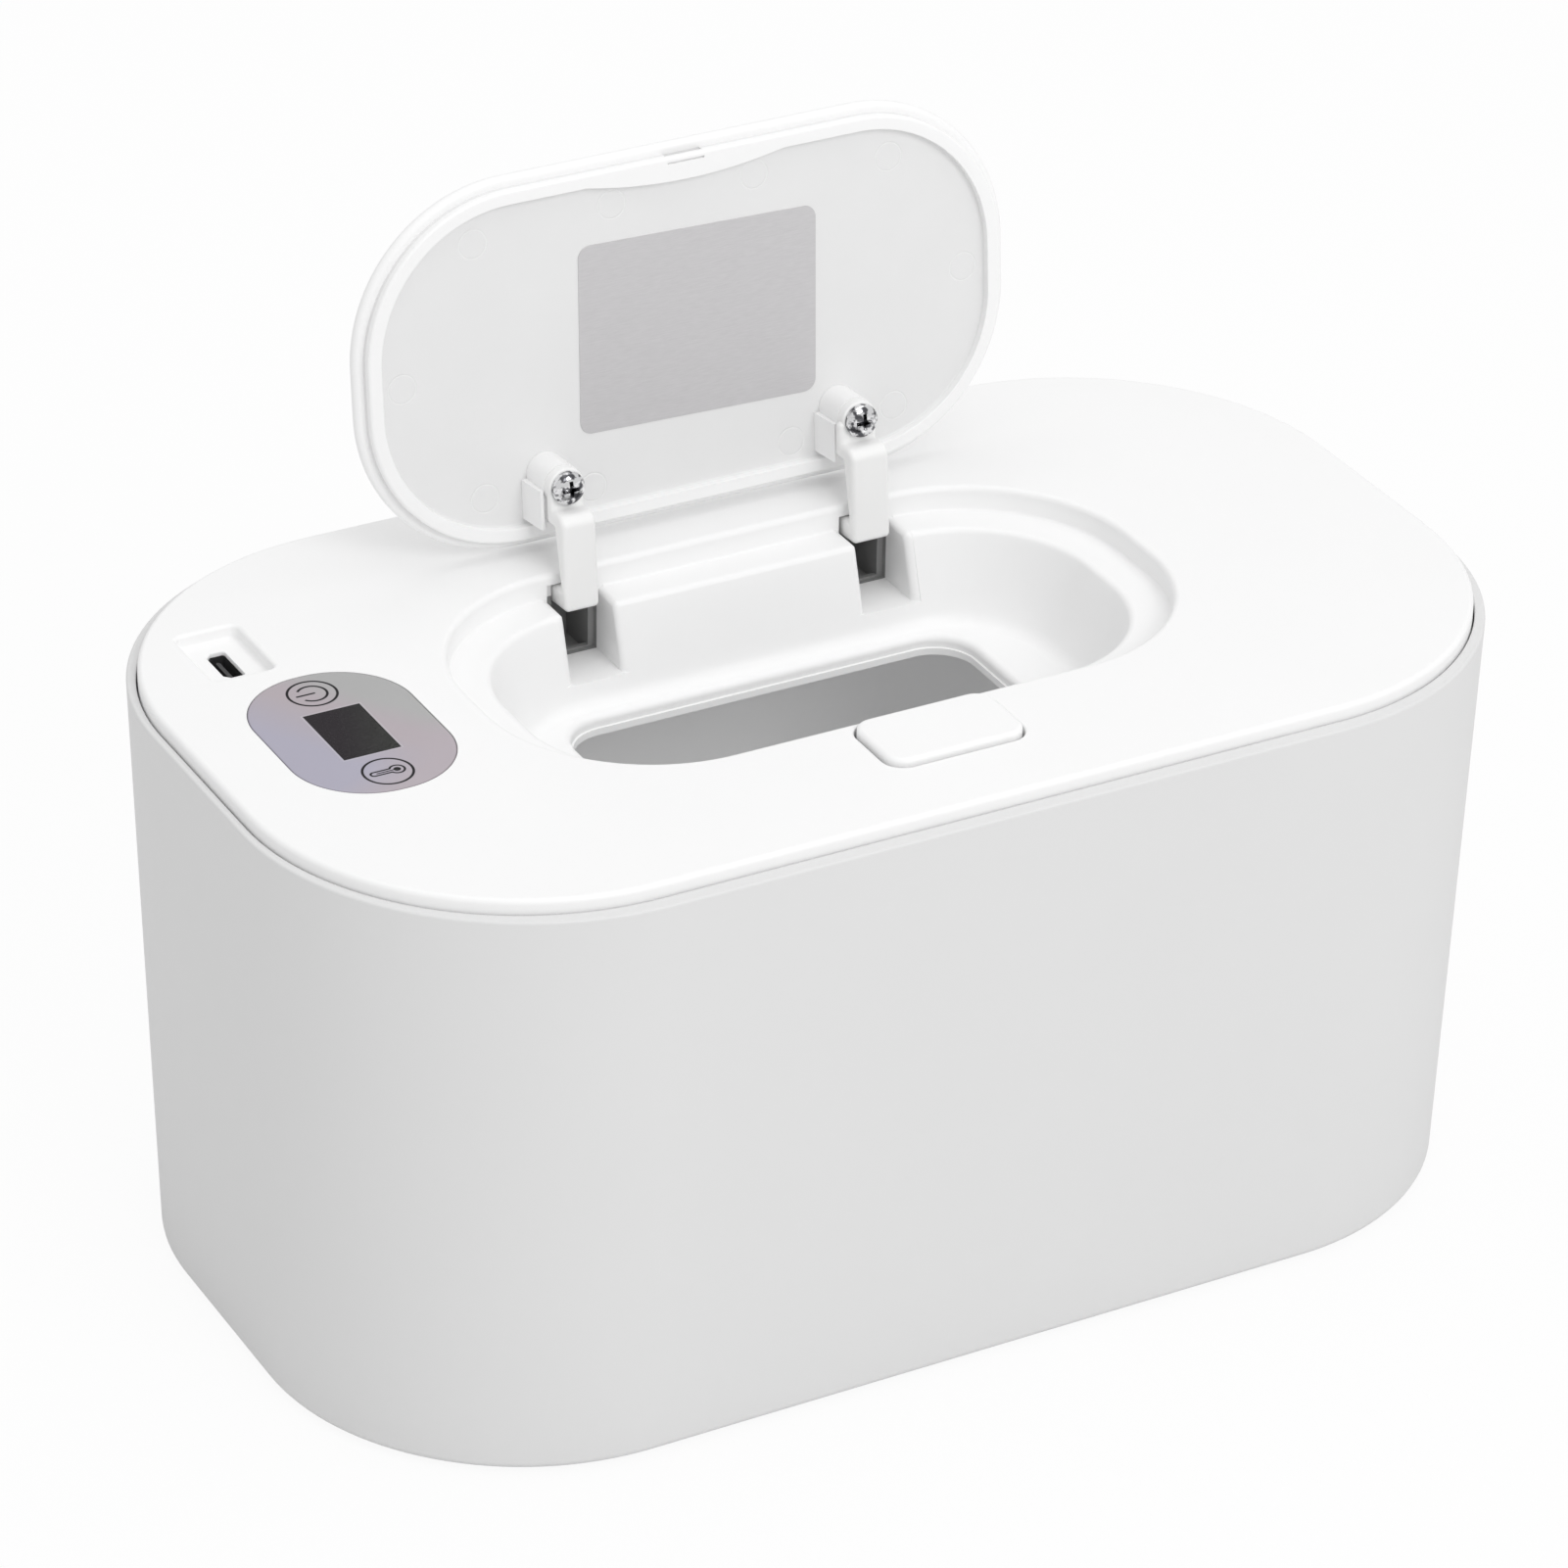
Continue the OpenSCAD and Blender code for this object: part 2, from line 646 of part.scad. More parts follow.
// Form of the bowl, grown outwards by g
module bowl_form(g) {
    foot = bowl_foot / (bowl_depth - pocket_depth);
    hull() {
        slice(bowl_w - 2 * bowl_lean_x + 2 * g, bowl_d - 2 * bowl_lean_y + 2 * g,
            bowl_r - bowl_lean_y + g, bowl_z - g);
        slice(bowl_w - 2 * bowl_lean_x * (0.8 - foot) + 2 * g, bowl_d - 2 * bowl_lean_y * (0.8 - foot) + 2 * g,
            bowl_r - bowl_lean_y * 0.5 + g, bowl_z + bowl_foot - g);
        slice(bowl_w + 2 * g, bowl_d + 2 * g, bowl_r + g, pocket_z + 0.5);
    }
}

// The bay's sides stand either side of the arm and of the spring beside it, and carry the pin
ear_t = 2.5;
spring_l = 3;
ear_in = -leg_w / 2 - move_gap - ear_t;
spring_x = leg_w / 2 + move_gap;
ear_out = spring_x + spring_l + move_gap;
spring_r = pin_w / 2 + fit_gap + 0.8;
bay_back = axis_y + hub_w / 2 + 0.5;
bay_t = 1.5;
bay_edge = 1;

// Closed bay under the panel behind each notch
module hinge_bay(x) {
    translate([x + ear_in, pocket_d / 2, notch_z - panel_t])
        cube([ear_out + ear_t - ear_in, bay_back + bay_t - pocket_d / 2, under_z - notch_z + panel_t + eps]);
}

// Hollow of a bay: a channel for the arm, narrower than the notch, and beside it a seat for the spring
module bay_hollow(x) {
    left = ear_in + ear_t - (x > 0 ? leg_shift : 0);
    seat_y = pocket_d / 2 + panel_t - 0.2;
    translate([x + left, pocket_d / 2 + 0.5, notch_z])
        cube([notch_w / 2 - bay_edge - left, bay_back - pocket_d / 2 - 0.5, under_z - notch_z]);
    translate([x + spring_x, seat_y, axis_z - spring_r - move_gap])
        cube([ear_out - spring_x, bay_back - seat_y, under_z - axis_z + spring_r + move_gap]);
}

// Top panel with its skirt, lid pocket, bowl, notches, hinge bays, button well and recesses
module top_panel() {
    color("white") difference() {
        union() {
            translate([0, 0, under_z]) soft_plate(panel_w, panel_d, panel_r, panel_t, panel_round);
            translate([0, 0, tray_top]) ring(panel_w, panel_d, panel_r, skirt_t, under_z - tray_top + eps);
            translate([0, 0, pocket_z - panel_t])
                plate(pocket_w + 2 * panel_t, pocket_d + 2 * panel_t, pocket_r + panel_t,
                    under_z - pocket_z + panel_t + eps);
            bowl_form(panel_t);
            translate([0, 0, tray_floor_top])
                plate(slot_w + 2 * panel_t, slot_d + 2 * panel_t, slot_r + panel_t, tray_space + eps);
            for (s = [-1, 1]) translate([s * arm_x - notch_w / 2 - panel_t, bowl_d / 2 - 3, notch_z - panel_t])
                cube([notch_w + 2 * panel_t, (pocket_d - bowl_d) / 2 + 3 + panel_t,
                    pocket_z - notch_z + panel_t]);
            for (s = [-1, 1]) hinge_bay(s * arm_x);
            for (p = boss_places) translate([p[0], p[1], tray_floor_top])
                cylinder(h = under_z - tray_floor_top + eps, r = boss_w / 2);
            for (x = [-board_screw_x, board_screw_x], y = [-board_screw_y, board_screw_y])
                translate([-pill_x + x, y, board_top]) cylinder(h = board_space + eps, r = 2.4);
            translate([usb_x, usb_y, usb_floor_z - panel_t])
                plate(usb_recess_w + 2.4, usb_recess_l + 2.4, 1.7, usb_recess_depth);
            for (p = usb_posts) translate([p[0], p[1], usb_board_top])
                cylinder(h = under_z - usb_board_top + eps, r = 1.8);
            translate([-well_w / 2 - well_t, well_front - well_t, well_z - well_t])
                cube([well_w + 2 * well_t, -well_front + well_t - bowl_d / 2 - panel_t + 0.5,
                    under_z - well_z + well_t + eps]);
        }
        translate([0, 0, pocket_z]) soft_hollow(pocket_w, pocket_d, pocket_r, pocket_depth, pocket_round);
        bowl_form(0);
        for (s = [-1, 1]) bay_hollow(s * arm_x);
        translate([0, 0, tray_floor_top - 1]) plate(slot_w, slot_d, slot_r, bowl_z - tray_floor_top + 2);
        for (s = [-1, 1]) translate([s * arm_x - notch_w / 2, bowl_d / 2 - 4, notch_z])
            cube([notch_w, (pocket_d - bowl_d) / 2 + 5, under_z - notch_z]);
        for (s = [-1, 1]) translate([s * arm_x + ear_in - 1, axis_y, axis_z]) rotate([0, 90, 0])
            cylinder(h = ear_out - ear_in + ear_t + 2, r = pin_w / 2 + 0.01);
        for (p = boss_places) translate([p[0], p[1], tray_floor_top - 1])
            cylinder(h = boss_depth, r = screw_r + fit_gap);
        for (x = [-board_screw_x, board_screw_x], y = [-board_screw_y, board_screw_y])
            translate([-pill_x + x, y, board_top - 1]) cylinder(h = 5, r = 1 + fit_gap);
        for (p = usb_posts) translate([p[0], p[1], usb_board_top - 1]) cylinder(h = 5, r = 1 + fit_gap);
        translate([-pill_x, 0, top_z - pill_t])
            plate(pill_w + 2 * fit_gap, pill_l + 2 * fit_gap, pill_r + fit_gap, 1 + pill_t);
        translate([-pill_x, 0, under_z - 1]) plate(display_w + 0.8, display_l + 0.8, 0.6, panel_t + 2);
        translate([usb_x, usb_y, usb_floor_z]) plate(usb_recess_w, usb_recess_l, 0.6, usb_recess_depth + 1);
        translate([usb_x, usb_y, usb_floor_z - usb_skin - eps]) linear_extrude(usb_skin + 1) mouth_outline(0);
        translate([usb_x, usb_y, usb_floor_z - panel_t - 1]) linear_extrude(panel_t + 1 - usb_skin)
            mouth_outline(usb_wall + fit_gap);
        translate([0, button_y, well_z]) plate(button_w + 2 * button_gap, button_d + 2 * button_gap,
            button_r + button_gap, top_z - well_z + 1);
        button_well_hollow();
        translate([-nose_w / 2 - move_gap, -pocket_d / 2 - button_wall - 1, slider_top - nose_t - move_gap])
            cube([nose_w + 2 * move_gap, button_wall + 2, nose_t + 2 * move_gap]);
    }
}

// Posts that carry the socket board
usb_posts = [[usb_x + 8.2, usb_y - 3.6], [usb_x + 8.2, usb_y + 3.6]];

// Hollow of the button well, with the rails that guide the slider left standing
module button_well_hollow() {
    difference() {
        translate([-well_w / 2, well_front, well_z])
            cube([well_w, -well_front - pocket_d / 2 - button_wall, under_z - well_z]);
        for (s = [-1, 1]) translate([s * (slider_w / 2 + move_gap + 0.6) - 0.6, well_front - 1, well_z - 1])
            cube([1.2, slider_back - well_front, 2.4]);
    }
}

// Tray under the panel: its flange lies on the seal, its floor carries the heater
module inner_cover() {
    color("whitesmoke") difference() {
        union() {
            translate([0, 0, seal_top])
                plate(panel_w - 0.4, panel_d - 0.4, panel_r - 0.2, tray_flange);
            translate([0, 0, tray_z]) plate(tray_w, tray_d, tray_r, tray_top - tray_z);
        }
        translate([0, 0, tray_floor_top])
            plate(tray_w - 2 * tray_t, tray_d - 2 * tray_t, tray_r - tray_t, tray_top - tray_z);
        translate([0, 0, tray_z - 1])
            plate(slot_w - 2 * tray_lip, slot_d - 2 * tray_lip, slot_r - tray_lip, tray_floor + 2);
        for (p = boss_places) translate([p[0], p[1], tray_z - 1])
            cylinder(h = tray_floor + 2, r = screw_r + 2 * fit_gap);
        translate([sensor_at[0], sensor_at[1], tray_z - 1]) cylinder(h = tray_floor + 2, r = 2.3);
        translate([fuse_at[0] - fuse_r - 0.4, fuse_at[1] - fuse_l / 2 - 1, tray_z - 1])
            cube([2 * fuse_r + 0.8, fuse_l + 2, tray_floor + 2]);
    }
}

// Screws up through the inner cover into the panel's posts
module cover_screws() {
    color("silver") for (p = boss_places) translate([p[0], p[1], tray_z - screw_head_t])
        screw(screw_head_r, screw_head_t, screw_r, tray_floor + boss_depth - 3);
}

// Silicone ring between the tank flange and the inner cover
module cover_seal() {
    color("lightgray") translate([0, 0, flange_top])
        ring(tank_w + 4, tank_d + 4, tank_r + 2, 3, seal_t);
}

// Aluminium plate round the wipe opening that warms the top of the stack
module heat_plate() {
    color("silver") translate([0, 0, tray_z - film_t - heat_t]) linear_extrude(heat_t) difference() {
        outline(heat_w, heat_d, heat_r);
        outline(slot_w + 2 * heat_in, slot_d + 2 * heat_in, slot_r + heat_in);
    }
}

// Heater film between the heat plate and the inner cover
module heater_film() {
    bare = heat_in + film_edge;
    color("goldenrod") translate([0, 0, tray_z - film_t]) linear_extrude(film_t) difference() {
        outline(heat_w - 2 * film_edge, heat_d - 2 * film_edge, heat_r - film_edge);
        outline(slot_w + 2 * bare, slot_d + 2 * bare, slot_r + bare);
    }
}

// Thermal cut-out in its window, lying on the film
module thermal_fuse() {
    color("ivory") translate([fuse_at[0], fuse_at[1] - fuse_l / 2, tray_z + fuse_r]) rotate([-90, 0, 0])
        cylinder(h = fuse_l, r = fuse_r);
}

// Temperature sensor standing on the film
module temperature_sensor() {
    color("black") translate([sensor_at[0], sensor_at[1], tray_z]) {
        cylinder(h = sensor_h - 1, r = 2);
        cylinder(h = sensor_h, r = 1.5);
    }
}

// Wires from the control board to the heater, with the cut-out in one of them
module heater_leads() {
    z = tray_z + fuse_r;
    color("firebrick") for (e = [-1, 1]) {
        end = fuse_at[1] + e * fuse_l / 2;
        out = end + e * 1.5;
        wire([[lead_x, out, board_top - board_t], [lead_x, out, z], [fuse_at[0], out, z],
            [fuse_at[0], end, z]], lead_r);
    }
}

// Wires from the control board to the temperature sensor
module sensor_leads() {
    high = tray_z + sensor_h + 3;
    color("black") for (s = [-0.8, 0.8])
        wire([[lead_x, sensor_at[1] + s, board_top - board_t], [lead_x, sensor_at[1] + s, high],
            [sensor_at[0], sensor_at[1] + s, high], [sensor_at[0], sensor_at[1] + s, tray_z + sensor_h]], 0.4);
}

// Circuit board under the control panel
module control_board() {
    color("seagreen") difference() {
        translate([-pill_x, 0, board_top - board_t]) plate(board_w, board_l, 2, board_t);
        for (x = [-board_screw_x, board_screw_x], y = [-board_screw_y, board_screw_y])
            translate([-pill_x + x, y, board_top - board_t - 1]) cylinder(h = board_t + 2, r = 1 + 2 * fit_gap);
    }
}

// Screws that hold the control board and the socket board under the panel
module board_screws() {
    color("silver") {
        for (x = [-board_screw_x, board_screw_x], y = [-board_screw_y, board_screw_y])
            translate([-pill_x + x, y, board_top - board_t - 1.3]) screw(1.9, 1.3, 1, board_t + 3);
        for (p = usb_posts) translate([p[0], p[1], usb_board_top - board_t - 1.3])
            screw(1.9, 1.3, 1, board_t + 3);
    }
}

// Number display standing on the board, up against the lens
module display_module() {
    color("black") translate([-pill_x, 0, board_top])
        plate(display_w + 0.4, display_l + 0.4, 0.4, top_z - pill_t - board_top);
}

// Sprung contacts between the board and the two touch keys
module touch_springs() {
    color("silver") for (s = [-1, 1]) translate([-pill_x, s * key_pitch, board_top]) difference() {
        cylinder(h = board_space, r = 3);
        translate([0, 0, -1]) cylinder(h = board_space + 2, r = 2.3);
    }
}

// Printed lens over the display and the touch keys
module control_lens() {
    color("thistle") translate([-pill_x, 0, top_z - pill_t]) plate(pill_w, pill_l, pill_r, pill_t);
}

// Metal shell of the power socket
module usb_socket() {
    color("silver") translate([usb_x, usb_y, usb_bottom]) difference() {
        linear_extrude(usb_h - usb_skin) mouth_outline(usb_wall);
        translate([0, 0, 1.2]) linear_extrude(usb_h) mouth_outline(0);
    }
}

// Contact tongue inside the socket
module usb_tongue() {
    color("black") translate([usb_x, usb_y, usb_bottom + 1.2])
        plate(0.7, usb_l - 2.2, 0.3, usb_h - 2.2);
}

// Small board that carries the socket
module usb_board() {
    color("seagreen") difference() {
        translate([usb_x + 4.4, usb_y, usb_board_top - board_t]) plate(13, 10.4, 1.5, board_t);
        for (p = usb_posts) translate([p[0], p[1], usb_board_top - board_t - 1])
            cylinder(h = board_t + 2, r = 1 + 2 * fit_gap);
    }
}

// Wires from the socket board to the control board
module power_leads() {
    z = usb_board_top + 0.9;
    color("firebrick") for (i = [0, 1])
        wire([[usb_x + 3.4 + 2 * i, usb_y - 4.2, usb_board_top], [usb_x + 3.4 + 2 * i, usb_y - 4.2, z],
            [usb_x + 3.4 + 2 * i, board_l / 2 - 1.6, z],
            [usb_x + 3.4 + 2 * i, board_l / 2 - 1.6, board_top - board_t]], lead_r / 1.5);
}

// Steel pins through the ears and the arm hubs
module hinge_pins() {
    color("silver") for (s = [-1, 1]) translate([s * arm_x + ear_in - 0.4, axis_y, axis_z])
        rotate([0, 90, 0]) cylinder(h = ear_out - ear_in + ear_t + 0.8, r = pin_w / 2);
}

// Coiled springs on the pins that throw the lid open, with one leg against the panel
module hinge_springs() {
    wire_r = 0.35;
    leg_r = spring_r - wire_r - 0.1;
    out = spring_l - wire_r - 0.1;
    in = wire_r + 0.1;
    color("silver") for (s = [-1, 1]) translate([s * arm_x + spring_x, axis_y, axis_z]) {
        rotate([0, 90, 0]) difference() {
            cylinder(h = spring_l, r = spring_r);
            translate([0, 0, -1]) cylinder(h = spring_l + 2, r = pin_w / 2 + fit_gap);
        }
        wire([[out, leg_r, 0], [out, leg_r + 0.5, under_z - axis_z - wire_r - 0.1]], wire_r);
        wire([[in, -0.2, -leg_r], [in, -3.3, -1.4], [-spring_x, -3.3, -1.4]], wire_r);
    }
}

// Spring that pushes the latch slider towards the lid
module latch_spring() {
    color("silver") translate([0, well_front, slider_z + 1.6]) rotate([-90, 0, 0])
        difference() {
            cylinder(h = slider_front - well_front, r = 1.5);
            translate([0, 0, -1]) cylinder(h = slider_front - well_front + 2, r = 1);
        }
}

// Latch slider: its nose holds the lid, and a ramp in its window lets the button draw it back
module latch_slider() {
    ramp_foot = stem_back + (stem_z - slider_z) - ramp_gap;
    ramp_head = stem_back - (slider_top - stem_z) - ramp_gap;
    window_back = stem_back + button_travel + 0.4;
    color("whitesmoke") difference() {
        union() {
            translate([-slider_w / 2, slider_front, slider_z])
                cube([slider_w, slider_back - slider_front, slider_top - slider_z]);
            translate([-nose_w / 2, slider_back - 1, slider_top - nose_t])
                cube([nose_w, nose_tip - slider_back + 1, nose_t]);
        }
        translate([-stem_w / 2 - move_gap, 0, 0]) rotate([90, 0, 90])
            linear_extrude(stem_w + 2 * move_gap)
                polygon([[ramp_foot + 0.1, slider_z - 0.1], [ramp_head - 0.1, slider_top + 0.1],
                    [window_back, slider_top + 0.1], [window_back, slider_z - 0.1]]);
    }
}

// Release button: a cap with a skirt on three sides, a lip under the panel and a wedge stem
module release_button() {
    lip = 1.1;
    lip_t = 1.2;
    skirt = 1.2;
    low = under_z - move_gap - lip_t;
    spring_room = 2.3;
    color("white") {
        difference() {
            union() {
                translate([0, button_y, low])
                    soft_plate(button_w, button_d, button_r, top_z + button_rise - low, 0.7);
                translate([-button_w / 2 - lip, button_y - button_d / 2 - lip, low])
                    cube([button_w + 2 * lip, button_d / 2 + lip, lip_t]);
            }
            translate([-button_w / 2 + skirt, button_y - button_d / 2 + skirt, low - 1])
                cube([button_w - 2 * skirt, button_d, button_under - low + 1]);
            // room for the latch spring under the pressed button
            translate([-spring_room, button_y - button_d / 2 - lip - 1, low - 1])
                cube([2 * spring_room, lip + skirt + 1.1, lip_t + 1.1]);
        }
        translate([-stem_w / 2, 0, 0]) rotate([90, 0, 90]) linear_extrude(stem_w)
            polygon([[stem_back, stem_z], [stem_front, stem_z + stem_back - stem_front],
                [stem_front, button_under + 0.5], [stem_back, button_under + 0.5]]);
    }
}

// Outer skin of the lid, a shallow dish with a full round edge
module lid_skin() {
    color("white") opened() difference() {
        translate([0, 0, edge_z]) soft_plate(lid_w, lid_d, lid_r, lid_edge, lid_edge / 2 - eps, true);
        translate([0, 0, edge_z - 1])
            plate(lid_w - 2 * liner_inset - 0.7, lid_d - 2 * liner_inset - 0.7, lid_r - liner_inset - 0.35,
                skin_z - edge_z + 1);
    }
}

// Liner of the lid, with its rim, finger pad, latch slot, screw posts and guide ribs
module lid_liner() {
    w = lid_w - 2 * liner_inset;
    d = lid_d - 2 * liner_inset;
    r = lid_r - liner_inset;
    front = -d / 2 + liner_rim;
    pad_r = (pow(pad_l / 2, 2) + pow(pad_bulge, 2)) / (2 * pad_bulge);
    color("white") opened() difference() {
        union() {
            translate([0, 0, liner_z]) plate(w - 1, d - 1, r - 0.5, skin_z - liner_z);
            translate([0, 0, lid_bottom]) ring(w, d, r, liner_rim, edge_z - lid_bottom);
            translate([0, 0, lid_bottom]) linear_extrude(liner_z - lid_bottom + eps) intersection() {
                translate([0, front + pad_bulge - pad_r]) circle(pad_r, $fn = 160);
                outline(w, d, r);
            }
            for (s = [-1, 1]) translate([s * arm_x, screw_y, eye_z + eye_t])
                cylinder(h = liner_z - eye_z - eye_t + eps, r = eye_w / 2);
            for (s = [-1, 1]) translate([s * arm_x, screw_y + 0.6 + rib_l, liner_z + eps])
                rotate([90, 0, 0]) linear_extrude(rib_l)
                    polygon([[-rib_x, 0], [-rib_x - rib_foot, 0], [-rib_x - rib_tip, -rib_h], [-rib_x, -rib_h]]);
        }
        translate([-latch_w / 2, -d / 2 - 1, slider_top - nose_t - 0.1])
            cube([latch_w, 1 + latch_bar + latch_slit, nose_t + 0.2]);
        translate([-latch_w / 2, -d / 2 + latch_bar, lid_bottom - 1])
            cube([latch_w, latch_slit, slider_top - lid_bottom]);
        for (s = [-1, 1]) translate([s * arm_x, screw_y, eye_z])
            cylinder(h = 6.5, r = lid_screw_r + fit_gap);
    }
}

// Bare label inside the lid
module lid_label() {
    color("silver") opened() translate([1.8, -0.8, liner_z - 0.12]) rotate([0, 0, label_turn])
        plate(label_w, label_d, 2, 0.12);
}

// Cranked arm from the lid down through its notch to the hub on the pin
module hinge_arm(s) {
    step_y = screw_y + eye_w / 2 + 0.3;
    step_t = 2.4;
    side = -leg_w / 2 - (s > 0 ? leg_shift : 0);
    color("ghostwhite") opened() translate([s * arm_x, 0, 0]) difference() {
        union() {
            translate([0, screw_y, eye_z]) cylinder(h = eye_t, r = eye_w / 2 - 0.1);
            translate([side, 0, 0]) rotate([90, 0, 90]) linear_extrude(leg_w)
                polygon([[screw_y, eye_z], [step_y, eye_z], [step_y, leg_z], [leg_end, leg_z], [leg_end, axis_z],
                    [leg_end - foot_t, axis_z], [leg_end - foot_t, leg_z + leg_t_back],
                    [step_y + step_t, leg_z + leg_t], [step_y + step_t, eye_z + eye_t],
                    [screw_y, eye_z + eye_t]]);
            translate([side, axis_y, axis_z]) rotate([0, 90, 0]) cylinder(h = leg_w / 2 - side, r = hub_w / 2);
        }
        translate([0, screw_y, eye_z - 1]) cylinder(h = eye_t + 2, r = lid_screw_r + 2 * fit_gap);
        translate([side - 1, axis_y, axis_z]) rotate([0, 90, 0])
            cylinder(h = leg_w / 2 - side + 2, r = pin_w / 2 + fit_gap);
    }
}

// Left arm of the lid
module hinge_arm_left() {
    hinge_arm(-1);
}

// Right arm of the lid
module hinge_arm_right() {
    hinge_arm(1);
}

// Pan-head screws that hold the arms to the lid posts
module lid_screws() {
    color("silver") opened() for (s = [-1, 1]) translate([s * arm_x, screw_y, eye_z - lid_screw_head_t])
        screw(lid_screw_head_r, lid_screw_head_t, lid_screw_r, eye_t + 4);
}

outer_shell();
base_plate();
base_screws();
rubber_feet();
foam_pad();
foam_sleeve();
wipe_tank();
top_panel();
inner_cover();
cover_screws();
cover_seal();
heat_plate();
heater_film();
thermal_fuse();
temperature_sensor();
heater_leads();
sensor_leads();
control_board();
board_screws();
display_module();
touch_springs();
control_lens();
usb_socket();
usb_tongue();
usb_board();
power_leads();
hinge_pins();
hinge_springs();
latch_spring();
latch_slider();
release_button();
lid_skin();
lid_liner();
lid_label();
hinge_arm_left();
hinge_arm_right();
lid_screws();
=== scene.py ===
import math

import bmesh
import bpy
from mathutils import Matrix, Vector


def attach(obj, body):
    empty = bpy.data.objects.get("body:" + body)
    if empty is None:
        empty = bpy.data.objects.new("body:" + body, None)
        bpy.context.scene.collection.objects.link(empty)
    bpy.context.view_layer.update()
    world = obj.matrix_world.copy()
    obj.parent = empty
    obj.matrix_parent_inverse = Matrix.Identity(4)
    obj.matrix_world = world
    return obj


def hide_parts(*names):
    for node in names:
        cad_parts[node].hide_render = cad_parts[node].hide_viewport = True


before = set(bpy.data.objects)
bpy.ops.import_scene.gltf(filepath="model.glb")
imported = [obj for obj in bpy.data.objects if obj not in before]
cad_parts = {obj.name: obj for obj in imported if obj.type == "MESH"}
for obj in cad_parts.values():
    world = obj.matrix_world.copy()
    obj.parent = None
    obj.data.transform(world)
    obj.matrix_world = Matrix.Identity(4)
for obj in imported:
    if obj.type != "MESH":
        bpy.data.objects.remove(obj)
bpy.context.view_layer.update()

# Outer shell: one tapered wall of satin white plastic, moulded with a rounded rim, a ledge
# inside that carries the tank, and four posts for the screws of the base.
MM = 0.001
FOOT_Z = 0.8
RIM_Z = 95.1
LEDGE_Z = 87.1
RIM_SIZE = (200, 121.2, 45)
FOOT_LESS = (4.3, 6.6, 2.9)


def outline(w, d, r, z, corner=24, run=1, move=(0, 0)):
    """Points in mm round a rectangle with rounded corners; run splits its back and front."""
    points = []
    for k, (sx, sy) in enumerate(((1, 1), (-1, 1), (-1, -1), (1, -1))):
        cx, cy = sx * (w / 2 - r) + move[0], sy * (d / 2 - r) + move[1]
        for i in range(corner + 1):
            a = math.pi / 2 * (k + i / corner)
            points.append((cx + r * math.cos(a), cy + r * math.sin(a), z))
        if k % 2 == 0:
            x, y, _ = points[-1]
            step = -sx * (w - 2 * r) / run
            points += [(x + step * i, y, z) for i in range(1, run)]
    return points


def section(w, d, r, profile, **how):
    """Outlines at each (inset, height) of a profile."""
    return [outline(w - 2 * s, d - 2 * s, r - s, z, **how) for s, z in profile]


def bend(s, z, radius, start, stop, steps=6):
    """Arc of a profile about (s, z), from one angle to another in degrees."""
    angles = [math.radians(start + (stop - start) * i / steps) for i in range(steps + 1)]
    return [(s + radius * math.cos(a), z + radius * math.sin(a)) for a in angles]


def rod(x, y, r, low, high, sides=24):
    """Loops of an upright round rod."""
    turns = [2 * math.pi * i / sides for i in range(sides)]
    return [[(x + r * math.cos(a), y + r * math.sin(a), z) for a in turns] for z in (low, high)]


def block(x, y, z):
    """Loops of a plain block between two places on each axis."""
    return [[(x[0], y[0], h), (x[1], y[0], h), (x[1], y[1], h), (x[0], y[1], h)] for h in z]


def piece_from(name, bm):
    mesh = bpy.data.meshes.new(name)
    bm.to_mesh(mesh)
    bm.free()
    piece = bpy.data.objects.new(name, mesh)
    bpy.context.scene.collection.objects.link(piece)
    return piece


def loft(name, *bodies, ring=False):
    """Solids through lists of outlines, with closed ends, or each one's last joined to its first."""
    bm = bmesh.new()
    for loops in bodies:
        rows = [[bm.verts.new([c * MM for c in point]) for point in loop] for loop in loops]
        for a, b in zip(rows, rows[1:] + (rows[:1] if ring else [])):
            for i in range(len(a)):
                j = (i + 1) % len(a)
                bm.faces.new((a[i], a[j], b[j], b[i]))
        if not ring:
            bm.faces.new(rows[0][::-1])
            bm.faces.new(rows[-1])
    bmesh.ops.recalc_face_normals(bm, faces=bm.faces)
    return piece_from(name, bm)


def bake(piece):
    """Turns a piece with its modifiers into a plain mesh."""
    graph = bpy.context.evaluated_depsgraph_get()
    mesh = bpy.data.meshes.new_from_object(piece.evaluated_get(graph))
    piece.modifiers.clear()
    piece.data = mesh
    mesh.name = piece.name
    return piece


def carve(piece, tool, how="DIFFERENCE"):
    """Cuts a tool out of a piece, or joins it on, and deletes the tool."""
    cut = piece.modifiers.new("cut", "BOOLEAN")
    cut.operation, cut.object, cut.solver = how, tool, "EXACT"
    bake(piece)
    bpy.data.objects.remove(tool)
    return piece


def smooth(piece, angle=32):
    """Smooth shading with flats kept flat and corners above the angle kept sharp."""
    bm = bmesh.new()
    bm.from_mesh(piece.data)
    bmesh.ops.remove_doubles(bm, verts=bm.verts, dist=1e-6)
    bmesh.ops.dissolve_degenerate(bm, edges=bm.edges, dist=1e-6)
    bmesh.ops.recalc_face_normals(bm, faces=bm.faces)
    bm.to_mesh(piece.data)
    bm.free()
    piece.data.shade_smooth()
    piece.data.set_sharp_from_angle(angle=math.radians(angle))
    weigh = piece.modifiers.new("flats", "WEIGHTED_NORMAL")
    weigh.keep_sharp, weigh.weight, weigh.mode = True, 100, "FACE_AREA_WITH_ANGLE"
    return bake(piece)


